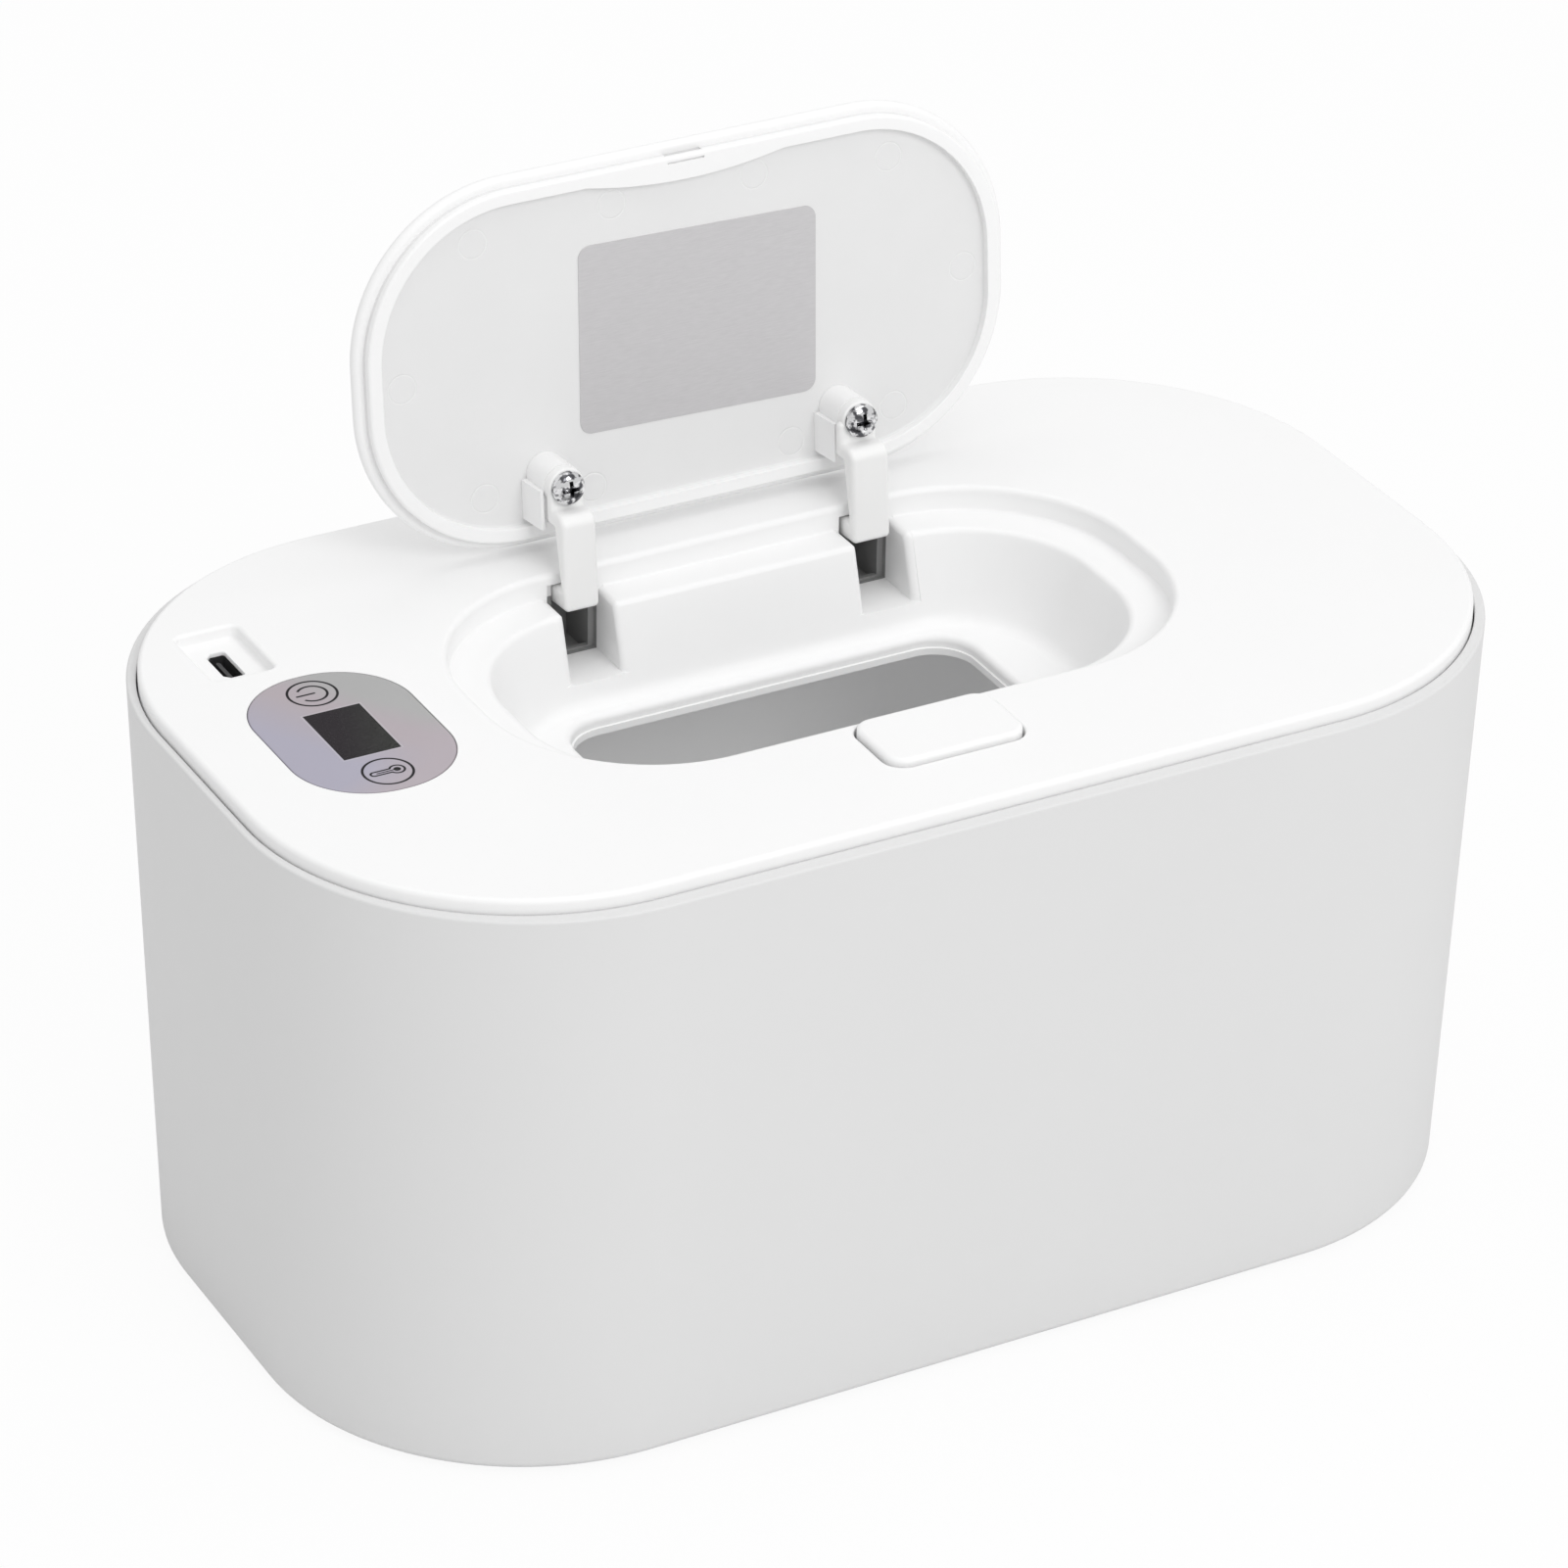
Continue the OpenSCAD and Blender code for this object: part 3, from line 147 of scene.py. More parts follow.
class Num:
    """A number in a material. Arithmetic on it adds Math nodes."""

    def __init__(self, tree, socket):
        self.tree, self.socket = tree, socket

    def maths(self, operation, *values):
        node = self.tree.nodes.new("ShaderNodeMath")
        node.operation = operation
        for slot, value in zip(node.inputs, values):
            if isinstance(value, Num):
                self.tree.links.new(value.socket, slot)
            else:
                slot.default_value = value
        return Num(self.tree, node.outputs[0])

    def __add__(self, other):
        return self.maths("ADD", self, other)

    def __sub__(self, other):
        return self.maths("SUBTRACT", self, other)

    def __rsub__(self, other):
        return self.maths("SUBTRACT", other, self)

    def __mul__(self, other):
        return self.maths("MULTIPLY", self, other)

    def __truediv__(self, other):
        return self.maths("DIVIDE", self, other)

    def __abs__(self):
        return self.maths("ABSOLUTE", self)

    __radd__, __rmul__ = __add__, __mul__

    def least(self, other):
        return self.maths("MINIMUM", self, other)

    def most(self, other):
        return self.maths("MAXIMUM", self, other)

    def long(self, other):
        """Length of the two numbers as the sides of a right angle."""
        return self.maths("SQRT", self * self + other * other)

    def under(self, edge, blur):
        """1 where the number is under edge, 0 above it, with a soft step blur wide."""
        return ((edge - self) / blur + 0.5).most(0).least(1)


class Finish:
    """A material: plain values sit on its shader's sockets, and what varies comes from nodes."""

    def __init__(self, name, **plain):
        self.material = bpy.data.materials.new(name)
        self.material.use_nodes = True
        self.tree = self.material.node_tree
        self.shader = self.tree.nodes["Principled BSDF"]
        self.place = self.node("TexCoord").outputs["Object"]
        self.vary(**plain)

    def node(self, kind, settings=None, **values):
        """Adds a node with its settings and socket values; i0 means the first socket."""
        node = self.tree.nodes.new("ShaderNode" + kind)
        for key, value in (settings or {}).items():
            setattr(node, key, value)
        for key, value in values.items():
            self.put(node.inputs[int(key[1:]) if key[1:].isdigit() else key.replace("_", " ")], value)
        return node

    def put(self, socket, value):
        value = value.socket if isinstance(value, Num) else value
        if isinstance(value, bpy.types.NodeSocket):
            self.tree.links.new(value, socket)
        else:
            socket.default_value = value

    def vary(self, **values):
        for socket, value in values.items():
            self.put(self.shader.inputs[socket.replace("_", " ")], value)

    def axes(self):
        """The place on the object in mm, as three numbers."""
        split = self.node("SeparateXYZ", None, Vector=self.place)
        return [Num(self.tree, split.outputs[i]) * 1000 for i in range(3)]

    def noise(self, scale, detail=2, roughness=0.5, place=None):
        made = self.node("TexNoise", None, Vector=place or self.place, Scale=scale, Detail=detail,
                         Roughness=roughness)
        return Num(self.tree, made.outputs["Fac"])

    def stretched(self, *scale):
        return self.node("Mapping", None, Vector=self.place, Scale=scale).outputs[0]

    def mix(self, amount, low, high):
        colour = [(*c, 1) if isinstance(c, tuple) and len(c) == 3 else c for c in (low, high)]
        return self.node("Mix", {"data_type": "RGBA"}, i0=amount, i6=colour[0], i7=colour[1]).outputs[2]

    def bump(self, height, depth):
        return self.node("Bump", None, Strength=1, Distance=depth, Height=height).outputs["Normal"]


def plastic(name, colour, roughness, grain, **plain):
    """Moulded plastic with a fine spark-eroded grain and slightly uneven gloss and tone."""
    made = Finish(name, **plain)
    made.vary(
        Base_Color=made.mix(made.noise(45, 3), tuple(c * 0.985 for c in colour), colour),
        Roughness=made.noise(160) * 0.1 + (roughness - 0.05),
        Normal=made.bump(made.noise(5200, 2, 0.6), grain),
    )
    return made


def paint(target, finish):
    target.data.materials.clear()
    target.data.materials.append(finish.material)


def settle(piece, finish, slot, body, *nodes):
    """Gives a finished piece its material and body, in the place of its nodes; its slot is not used."""
    paint(piece, finish)
    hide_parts(*nodes)
    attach(piece, body)


def shell_loops(profile):
    """Outlines of the shell at each (inset, height): its width, depth and corners lessen downwards."""
    loops = []
    for s, z in profile:
        lean = (RIM_Z - z) / (RIM_Z - FOOT_Z)
        w, d, r = [size - less * lean for size, less in zip(RIM_SIZE, FOOT_LESS)]
        loops.append(outline(w - 2 * s, d - 2 * s, r - s, z, 32))
    return loops


# Painted shade: the shell's white is set darker than the panel's white, so its walls read darker than the
# top.
shell_white = plastic("shell_white", (0.745, 0.745, 0.745), 0.5, 4e-6)
shell = loft("shell_wall", shell_loops(
    bend(1.4, FOOT_Z + 1.4, 1.4, 270, 180)
    + [(0, z) for z in range(8, 94, 12)]
    + bend(0.4, RIM_Z - 0.4, 0.4, 180, 90, 4)
) + section(197.7, 116.3, 43.2, [(-0.12, RIM_Z), (0, RIM_Z - 0.12), (0, LEDGE_Z)], corner=32)
    + shell_loops([(6.4, LEDGE_Z), (6.4, LEDGE_Z - 2.2), (2.4, LEDGE_Z - 2.2), (2.4, FOOT_Z)]), ring=True)
BASE_POSTS = [(x, y) for x in (-81.7, 81.7) for y in (-41.15, 41.15)]
carve(shell, loft("posts", *[rod(x, y, 4, 2.8, 12.8) for x, y in BASE_POSTS]), "UNION")
carve(shell, loft("pilot_holes", *[rod(x, y, 1.35, 1.8, 10.8) for x, y in BASE_POSTS]))
settle(smooth(shell), shell_white, "shell_white", "base", "outer_shell")

# Base plate: a flat moulding in light grey plastic that closes the bottom, screwed to the
# shell's posts, with round seats for the feet.
base_grey = plastic("base_grey", (0.72, 0.72, 0.72), 0.55, 8e-6)


def dressed(node, name, finish, slot, body, edge=0.0, angle=32):
    """A merged copy of a node's own form, its corners broken by edge mm, shaded smooth."""
    bm = bmesh.new()
    bm.from_mesh(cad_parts[node].data)
    bmesh.ops.remove_doubles(bm, verts=bm.verts, dist=1e-6)
    bmesh.ops.dissolve_limit(bm, angle_limit=math.radians(0.5), verts=bm.verts, edges=bm.edges)
    piece = piece_from(name, bm)
    if edge:
        soft = piece.modifiers.new("edges", "BEVEL")
        soft.width, soft.segments, soft.limit_method = edge * MM, 3, "ANGLE"
        soft.angle_limit = math.radians(40)
        bake(piece)
    settle(smooth(piece, angle), finish, slot, body, node)


dressed("base_plate", "bottom_plate", base_grey, "base_grey", "base", 0.2)

# Base screws: four flat-headed steel Phillips screws, cut from wire with a rolled thread,
# driven up through the base plate into the posts.
steel = Finish("steel", Metallic=1.0)
steel.vary(
    Base_Color=steel.mix(steel.noise(700), (0.52, 0.52, 0.54), (0.64, 0.64, 0.66)),
    Roughness=steel.noise(2200) * 0.14 + 0.22,
    Normal=steel.bump(steel.noise(6000), 3e-6),
)


def plus(reach, half, z):
    """Outline of a Phillips cross."""
    a, b = reach, half
    return [(x, y, z) for x, y in ((a, -b), (a, b), (b, b), (b, a), (-b, a), (-b, b), (-a, b), (-a, -b),
                                   (-b, -b), (-b, -a), (b, -a), (b, -b))]


def screw_form(name, head_r, head_t, shank_r, length, domed=True):
    """Screw standing with its head at the bottom: domed or flat, with a Phillips cross and thread."""
    if domed:
        head = [(head_r * math.sin(a), head_t * 0.62 * (1 - math.cos(a)))
                for a in [math.radians(d) for d in (12, 25, 38, 50, 62, 74, 84, 90)]]
    else:
        head = [(head_r - 0.2, 0), (head_r, 0.2)]
    profile = head + [(head_r, head_t - 0.15), (head_r - 0.15, head_t), (shank_r * 0.8, head_t)]
    z = head_t + 0.4
    while z < head_t + length - 0.9:
        profile += [(shank_r * 0.8, z), (shank_r, z + 0.2), (shank_r, z + 0.3), (shank_r * 0.8, z + 0.5)]
        z += 0.7
    profile += [(shank_r * 0.8, head_t + length - 0.4), (shank_r * 0.5, head_t + length)]
    turns = [2 * math.pi * i / 32 for i in range(32)]
    form = loft(name, [[(r * math.cos(a), r * math.sin(a), z) for a in turns] for r, z in profile])
    deep = min(head_t * 0.62, 1.1)
    cross = loft("cross", [plus(head_r * 0.6, head_r * 0.13, -0.2), plus(head_r * 0.56, head_r * 0.12, 0.1),
                           plus(head_r * 0.26, head_r * 0.07, deep)])
    return smooth(carve(form, cross), 28)


class Grower:
    """A Geometry Nodes tree with named inputs that ends by realising and painting its form."""

    def __init__(self, name, **inputs):
        self.tree = bpy.data.node_groups.new(name, "GeometryNodeTree")
        face = self.tree.interface
        face.new_socket("Geometry", in_out="INPUT", socket_type="NodeSocketGeometry")
        self.names = {key: face.new_socket(key, in_out="INPUT", socket_type="NodeSocket" + kind).identifier
                      for key, kind in inputs.items()}
        face.new_socket("Geometry", in_out="OUTPUT", socket_type="NodeSocketGeometry")
        self.given = self.tree.nodes.new("NodeGroupInput").outputs

    def add(self, kind, settings=None, **links):
        node = self.tree.nodes.new("GeometryNode" + kind)
        for key, value in (settings or {}).items():
            setattr(node, key, value)
        for key, value in links.items():
            socket = node.inputs[key.replace("_", " ")]
            if isinstance(value, bpy.types.NodeSocket):
                self.tree.links.new(value, socket)
            else:
                socket.default_value = value
        return node.outputs[0]

    def finish(self, form):
        real = self.add("RealizeInstances", None, Geometry=form)
        painted = self.add("SetMaterial", None, Geometry=real, Material=self.given["Material"])
        self.tree.links.new(painted, self.tree.nodes.new("NodeGroupOutput").inputs[0])

    def grow(self, name, points, edges, finish, **values):
        """The form grown on points in mm, baked to a mesh."""
        mesh = bpy.data.meshes.new(name)
        mesh.from_pydata([[c * MM for c in p] for p in points], edges, [])
        piece = bpy.data.objects.new(name, mesh)
        bpy.context.scene.collection.objects.link(piece)
        nodes = piece.modifiers.new("grow", "NODES")
        nodes.node_group = self.tree
        for key, value in dict(values, Material=finish.material).items():
            nodes[self.names[key]] = value
        return bake(piece)


repeat = Grower("repeat_on_points", Item="Object", Turn="Vector", Material="Material")
item = repeat.tree.nodes.new("GeometryNodeObjectInfo")
repeat.tree.links.new(repeat.given["Item"], item.inputs["Object"])
spots = repeat.add("MeshToPoints", None, Mesh=repeat.given["Geometry"])
repeat.finish(repeat.add("InstanceOnPoints", None, Points=spots, Instance=item.outputs["Geometry"],
                         Rotation=repeat.given["Turn"]))


def repeated(form, name, places, finish, slot, body, node, turn=0.0):
    """Copies of a form at places in mm, tipped about X by turn degrees, as one piece."""
    piece = repeat.grow(name, places, [], finish, Item=form, Turn=(math.radians(turn), 0, 0))
    bpy.data.objects.remove(form)
    settle(piece, finish, slot, body, node)


repeated(screw_form("base_screw", 2.5, 0.9, 1.3, 8, domed=False), "bottom_screws",
         [(x, y, 0.9) for x, y in BASE_POSTS], steel, "steel", "base", "base_screws")

# Rubber feet: four dark round pads of moulded rubber, glued into the seats of the base
# plate.
foot_rubber = plastic("foot_rubber", (0.09, 0.09, 0.09), 0.8, 2e-5)
foot = loft("foot", [rod(0, 0, r, z, z, 40)[0] for r, z in
                     ((2.6, 0.25), (3.0, 0), (4.5, 0), (4.85, 0.15), (5, 0.45), (5, 1.6))])
repeated(smooth(foot), "feet", [(x, y, 0) for x in (-62, 62) for y in (-36, 36)],
         foot_rubber, "foot_rubber", "base", "rubber_feet")

# Foam pad and sleeve: white closed-cell foam, cut from sheet and laid under and round the
# tank to keep its warmth in.
foam = Finish("foam", Roughness=0.95)
cells = foam.node("TexVoronoi", None, Vector=foam.place, Scale=900).outputs["Distance"]
foam.vary(Base_Color=foam.mix(cells, (0.66, 0.66, 0.64), (0.78, 0.78, 0.76)), Normal=foam.bump(cells, 1.5e-4))
dressed("foam_pad", "tank_pad", foam, "foam", "base", 0.6)
dressed("foam_sleeve", "tank_sleeve", foam, "foam", "base")

# Wipe tank: a thin-walled tub in pale plastic that hangs by its flange on the ledge. Its material glows
# faintly. The glow is painted light that brightens its inside where it shows through the wipe opening.
tank_grey = plastic("tank_grey", (0.93, 0.93, 0.93), 0.5, 4e-6,
                    Emission_Color=(1, 1, 1, 1), Emission_Strength=0.055)
dressed("wipe_tank", "tank_tub", tank_grey, "tank_grey", "base", angle=40)

# Cover panel: the white top, moulded in one with its skirt, the pocket that the lid sinks into, the bowl, the
# wipe opening, a notch and a bay for each hinge arm, the well of the button and the posts for its screws. The
# insides of the bays carry painted shade in dark grey. It lifts off the shell.
TOP_Z = 97.3
UNDER_Z = 95.5
POCKET_Z = 93.3
BOWL_Z = 79.1
SLOT_LOW = 77.1
NOTCH_Z = 82.9
NOTCH_HALF = 4.2
POCKET_Y = 30.05
ARM_X = 25
WALL = 1.8
DRAFT = 0.0678
BACK_Y, LIP_Z, LIP_R = 23.95, 92.1, 1.2
PANEL_WHITE = (0.93, 0.93, 0.93)
HINGE_Y, HINGE_Z = 35.43, 92.57
panel_white = plastic("panel_white", PANEL_WHITE, 0.42, 5e-6)


def bowl(t, z, grow=0.0):
    """Outline of the bowl, t of the way from its mouth to its floor's edge."""
    return outline(98 - 11.2 * t + 2 * grow, 47.9 - 9.2 * t + 2 * grow, 20.4 - 4.6 * t + grow, z)


def bowl_back(z):
    """Where the back wall of the bowl is at a height."""
    if z > LIP_Z:
        return BACK_Y + LIP_R - math.sqrt(max(0, LIP_R ** 2 - (z - LIP_Z) ** 2))
    return BACK_Y - 4.6 * DRAFT * max(0, 92.4 - z)


outside = section(197.2, 115.8, 42.95, [(1.6, 91.5), (0, 91.5)] + bend(0.8, TOP_Z - 0.8, 0.8, 180, 90))
pocket = section(111.2, 60.1, 26.3, bend(-1.0, TOP_Z - 1, 1.0, 90, 0)
                 + bend(0.5, POCKET_Z + 0.5, 0.5, 180, 270, 4))
bowl_wall = section(98, 47.9, 20.4, bend(-LIP_R, POCKET_Z - LIP_R, LIP_R, 90, 15, 5))
bowl_wall += [bowl(DRAFT * (92.4 - z), z) for z in (91, 88.5, 86, 83.5, 81.5)]
bowl_foot = ((0.79, 80.75), (0.86, 80.1), (0.95, 79.6), (1.06, 79.25), (1.18, BOWL_Z))
bowl_wall += [bowl(t, z) for t, z in bowl_foot]
slot = section(68.5, 34.4, 7, bend(-1.2, BOWL_Z - 1.2, 1.2, 90, 0)
               + [(0, SLOT_LOW), (-WALL, SLOT_LOW), (-WALL, BOWL_Z - WALL)])
underside = [bowl(1, BOWL_Z - WALL, WALL), bowl(0, POCKET_Z - WALL, WALL)]
underside += section(114.8, 63.7, 28.1, [(0, POCKET_Z - WALL), (0, UNDER_Z)])
underside += section(194, 112.6, 41.35, [(0, UNDER_Z)])
panel = loft("cover_panel", outside + pocket + bowl_wall + slot + underside, ring=True)
LENS_X = -75.5
SOCKET_X, SOCKET_Y = -82.1, 29.8
BUTTON_Y = -37.95


def run(points, axis, start, stop):
    """Loops of a flat section that runs along X or Y."""
    return [[(at, u, v) if axis == "X" else (u, at, v) for u, v in points] for at in (start, stop)]


POST_TOP = UNDER_Z + 0.5
cover_posts = [(x, y) for x in (-68, 68) for y in (-34, 34)]
cover_posts += [(-38, 45), (38, 45), (-26, -45), (26, -45)]
board_posts = [(LENS_X + x, y) for x in (-9.3, 9.3) for y in (-15.8, 15.8)]
socket_posts = [(SOCKET_X + 8.2, SOCKET_Y + y) for y in (-3.6, 3.6)]
carve(panel, loft("posts",
    *[rod(x, y, 3.2, SLOT_LOW, POST_TOP) for x, y in cover_posts],
    *[rod(x, y, 2.4, 90.9, POST_TOP) for x, y in board_posts],
    *[rod(x, y, 1.8, 87.7, POST_TOP) for x, y in socket_posts]), "UNION")
cheek = [(21.3, NOTCH_Z - WALL), (24.7, 91.9), (24.7, 92.6), (31, 92.6), (31, NOTCH_Z - WALL)]
carve(panel, loft("notch_boxes", *[run(cheek, "X", x - 6, x + 6) for x in (-ARM_X, ARM_X)]), "UNION")
carve(panel, loft("boxes",
    *[block((x - 5.5, x + 8.8), (30.6, 39.93), (NOTCH_Z - WALL, POST_TOP)) for x in (-ARM_X, ARM_X)],
    block((-14.6, 14.6), (-47.85, -30.5), (88.8, POST_TOP)),
    section(12.3, 17, 1.7, [(0, 93.4), (0, POST_TOP)], corner=6, move=(SOCKET_X, SOCKET_Y))), "UNION")


def notch_slice(x, z):
    """Section of a notch at a height, rounded over where it meets the wall of the bowl."""
    y, r, half = bowl_back(z), 1.2, NOTCH_HALF
    turns = [math.pi / 2 * i / 6 for i in range(7)]
    side = [(half + r - r * math.cos(a), y + r - r * math.sin(a)) for a in turns]
    side = [(half, POCKET_Y + 0.6)] + side + [(half + r, y - 3)]
    return [(x + u, v, z) for u, v in side] + [(x - u, v, z) for u, v in reversed(side)]


def flare(x, half, edge, r, far, low):
    """Section of a channel whose mouth is rounded over."""
    side = [(half, low)] + bend(half + r, edge - r, r, 180, 90) + [(half + r, far)]
    return [(x - u, v) for u, v in reversed(side)] + [(x + u, v) for u, v in side]


SLICES = (NOTCH_Z, 84, 86, 88, 90, 91.5, LIP_Z, 92.5, 92.8, 93.05, 93.2, POCKET_Z, 94)
BAY_Y, BAY_BACK = POCKET_Y + 1, 38.43
bay_side = [(BAY_Y - 0.3, NOTCH_Z + 0.35), (BAY_Y + 0.8, NOTCH_Z + 0.35), (BAY_Y + 0.8, NOTCH_Z - 1),
            (BAY_BACK, NOTCH_Z - 1), (BAY_BACK, UNDER_Z), (BAY_Y - 0.3, UNDER_Z)]
for x, left in ((-ARM_X, -3), (ARM_X, -3.9)):
    carve(panel, loft("notch", [notch_slice(x, z) for z in SLICES]))
    mouth = flare(x, NOTCH_HALF, POCKET_Z, 1.0, 96, NOTCH_Z + 1)
    carve(panel, loft("channel", run(mouth, "Y", 20, POCKET_Y - 0.02)))
    sides = (x - NOTCH_HALF, x + NOTCH_HALF)
    carve(panel, loft("window", block(sides, (POCKET_Y - 0.1, BAY_Y), (NOTCH_Z, UNDER_Z))))
    carve(panel, loft("bay", run(bay_side, "X", x + left, x + 3.2)))
    carve(panel, loft("spring_seat", block((x + 3, x + 6.3), (BAY_Y + 0.6, BAY_BACK), (90.22, UNDER_Z))))
    round_hole = [(v, w) for v, w, _ in rod(HINGE_Y, HINGE_Z, 1.21, 0, 0)[0]]
    carve(panel, loft("pin_hole", run(round_hole, "X", x - 6.5, x + 9.8)))
carve(panel, loft("screw_holes",
    *[rod(x, y, 1.35, SLOT_LOW - 1, SLOT_LOW + 10) for x, y in cover_posts],
    *[rod(x, y, 1.05, 89.9, 94.9) for x, y in board_posts],
    *[rod(x, y, 1.05, 86.7, 91.7) for x, y in socket_posts]))
rails = [block((x - 0.6, x + 0.6), (-47, -31.75), (90, 91.6)) for x in (-5.4, 5.4)]
hollow = loft("well_hollow", block((-13.2, 13.2), (-46.45, -30.85), (90.2, UNDER_Z)))
carve(panel, carve(hollow, loft("rails", *rails)))
SEAT_Z = 96.7
button_hole = [(0, UNDER_Z - 1), (0, TOP_Z - 0.35)] + bend(-0.35, TOP_Z - 0.35, 0.35, 0, 80, 3)[1:]
button_hole += [(-0.35, TOP_Z + 1)]
recess = bend(0.5, 95.7, 0.5, 270, 180, 4) + [(0, TOP_Z - 0.6)] + bend(-0.6, TOP_Z - 0.6, 0.6, 0, 85, 4)[1:]
recess += [(-0.6, 99)]
carve(panel, loft("holes",
    section(23.2, 14.2, 3.4, button_hole, corner=10, move=(0, BUTTON_Y)),
    section(25.1, 36.5, 12.05, [(0, SEAT_Z), (0, 99)], corner=24, move=(LENS_X, 0)),
    section(9.9, 14.6, 1.2, recess, corner=8, move=(SOCKET_X, SOCKET_Y))))
carve(panel, loft("nose_window", block((-3.1, 3.1), (-31.9, -29.05), (94.15, 95.45))))
carve(panel, loft("display_hole", section(9.8, 15, 0.6, [(0, 94.5), (0, 96.9)], corner=4, move=(LENS_X, 0))))


def socket_mouth(grow, z):
    """Outline of the power socket, narrower on its outer side."""
    w, d, cut, nick = 1.55 + grow, 3.9 + grow, 0.9, 0.3
    corners = ((w, -d + nick), (w, d - nick), (w - nick, d), (cut - w, d),
               (-w, d - cut), (-w, cut - d), (cut - w, -d), (w - nick, -d))
    return [(SOCKET_X + x, SOCKET_Y + y, z) for x, y in corners]


carve(panel, loft("socket_mouth", [socket_mouth(0, 94.6), socket_mouth(0, 95.05), socket_mouth(0.15, 95.3)]))
carve(panel, loft("socket_seat", [socket_mouth(0.35, 92.4), socket_mouth(0.35, 94.6)]))
cover_white = plastic("cover_white", PANEL_WHITE, 0.42, 5e-6)
cx, cy, cz = cover_white.axes()
# Painted shade: dark grey stands for shade inside each bay, behind the pocket, near an arm's middle and below
# the pocket's floor.
bay_shade = (1 - cy.under(POCKET_Y + 0.06, 0.04)) * abs(abs(cx) - ARM_X).under(7, 0.1)
bay_shade = bay_shade * cz.under(POCKET_Z - 0.2, 0.1)
white = cover_white.mix(cover_white.noise(45, 3), (0.915, 0.915, 0.915), PANEL_WHITE)
BAY_SHADE_GREY = (0.27, 0.27, 0.27)
cover_white.vary(Base_Color=cover_white.mix(bay_shade, white, BAY_SHADE_GREY))
settle(smooth(panel), cover_white, "panel_white", "cover", "top_panel")

# Inner cover: the white moulded tray screwed up under the panel. Its lip shows in the wipe
# opening.
tray_white = plastic("tray_white", (0.92, 0.92, 0.92), 0.5, 4e-6)
dressed("inner_cover", "inner_tray", tray_white, "tank_grey", "cover", 0.15)

# Cover screws: eight domed steel Phillips screws, driven up through the tray into the
# panel's posts.
repeated(screw_form("cover_screw", 2.5, 1.8, 1.3, 9.2), "tray_screws",
         [(x, y, 74.1) for x, y in cover_posts], steel, "steel", "cover", "cover_screws")

# Seal: a soft pale ring of moulded silicone that lies on the tank's flange, under the
# cover.
seal_silicone = plastic("seal_silicone", (0.76, 0.76, 0.76), 0.65, 6e-6)
dressed("cover_seal", "seal_ring", seal_silicone, "seal_silicone", "base", 0.3)

# Heat plate: an aluminium ring stamped from rolled sheet, held under the tray by its
# screws.
aluminium = Finish("plate_aluminium", Metallic=1.0)
rolled = aluminium.noise(8, 4, 0.6, aluminium.stretched(20, 900, 20))
aluminium.vary(Base_Color=aluminium.mix(rolled, (0.72, 0.72, 0.74), (0.84, 0.84, 0.86)),
               Roughness=rolled * 0.2 + 0.28, Normal=aluminium.bump(rolled, 6e-6))
dressed("heat_plate", "warm_plate", aluminium, "plate_aluminium", "cover", 0.12)

# Heater film: amber film with an etched metal track winding through it, stuck on the heat
# plate.
film_amber = Finish("film_amber")
fx, fy, _ = film_amber.axes()
track = abs(fx.maths("SINE", fx.long(fy) * 2.2))
track = track.under(0.35, 0.1)
film_amber.vary(Base_Color=film_amber.mix(track, (0.72, 0.36, 0.07), (0.42, 0.2, 0.05)),
                Roughness=film_amber.noise(300) * 0.1 + 0.25, Normal=film_amber.bump(track, 3e-5))
dressed("heater_film", "film_heater", film_amber, "film_amber", "cover")

# Thermal cut-out: a glazed ceramic barrel set in the tray's window, in line with one heater
# wire.
ceramic = Finish("ceramic", Coat_Weight=0.6)
ceramic.vary(Base_Color=ceramic.mix(ceramic.noise(400), (0.78, 0.74, 0.62), (0.86, 0.83, 0.73)),
             Roughness=ceramic.noise(900) * 0.1 + 0.3)
dressed("thermal_fuse", "cut_out", ceramic, "ceramic", "cover", 0.3)

# Temperature sensor: a bead moulded in black plastic round its wires, pressed on the
# heater film.
black_plastic = plastic("black_plastic", (0.03, 0.03, 0.032), 0.45, 6e-6)
dressed("temperature_sensor", "sensor_bead", black_plastic, "black_plastic", "cover", 0.3)

# Leads: wires in red and black insulation with rounded bends, soldered to the control
# board, the heater and the sensor.
wire = Grower("wire_on_path", Radius="Float", Bend="Float", Sides="Int", Material="Material")
path = wire.add("MeshToCurve", None, Mesh=wire.given["Geometry"])
path = wire.add("FilletCurve", {"mode": "POLY"}, Curve=path, Count=5, Radius=wire.given["Bend"],
                Limit_Radius=True)
circle = wire.add("CurvePrimitiveCircle", None, Resolution=wire.given["Sides"], Radius=wire.given["Radius"])
tube = wire.add("CurveToMesh", None, Curve=path, Profile_Curve=circle, Fill_Caps=True)
wire.finish(wire.add("SetShadeSmooth", None, Geometry=tube))


def wired(name, paths, radius, corner, finish, slot, body, node, sides=12):
    """Round wire along paths in mm, its corners bent round."""
    points = [p for line in paths for p in line]
    edges, first = [], 0
    for line in paths:
        edges += [(first + i, first + i + 1) for i in range(len(line) - 1)]
        first += len(line)
    piece = wire.grow(name, points, edges, finish, Radius=radius * MM, Bend=corner * MM, Sides=sides)
    settle(smooth(piece, 60), finish, slot, body, node)


def insulation(name, colour):
    made = Finish(name)
    made.vary(Base_Color=made.mix(made.noise(300), tuple(c * 0.8 for c in colour), colour),
              Roughness=made.noise(700) * 0.15 + 0.35, Normal=made.bump(made.noise(2500), 6e-6))
    return made


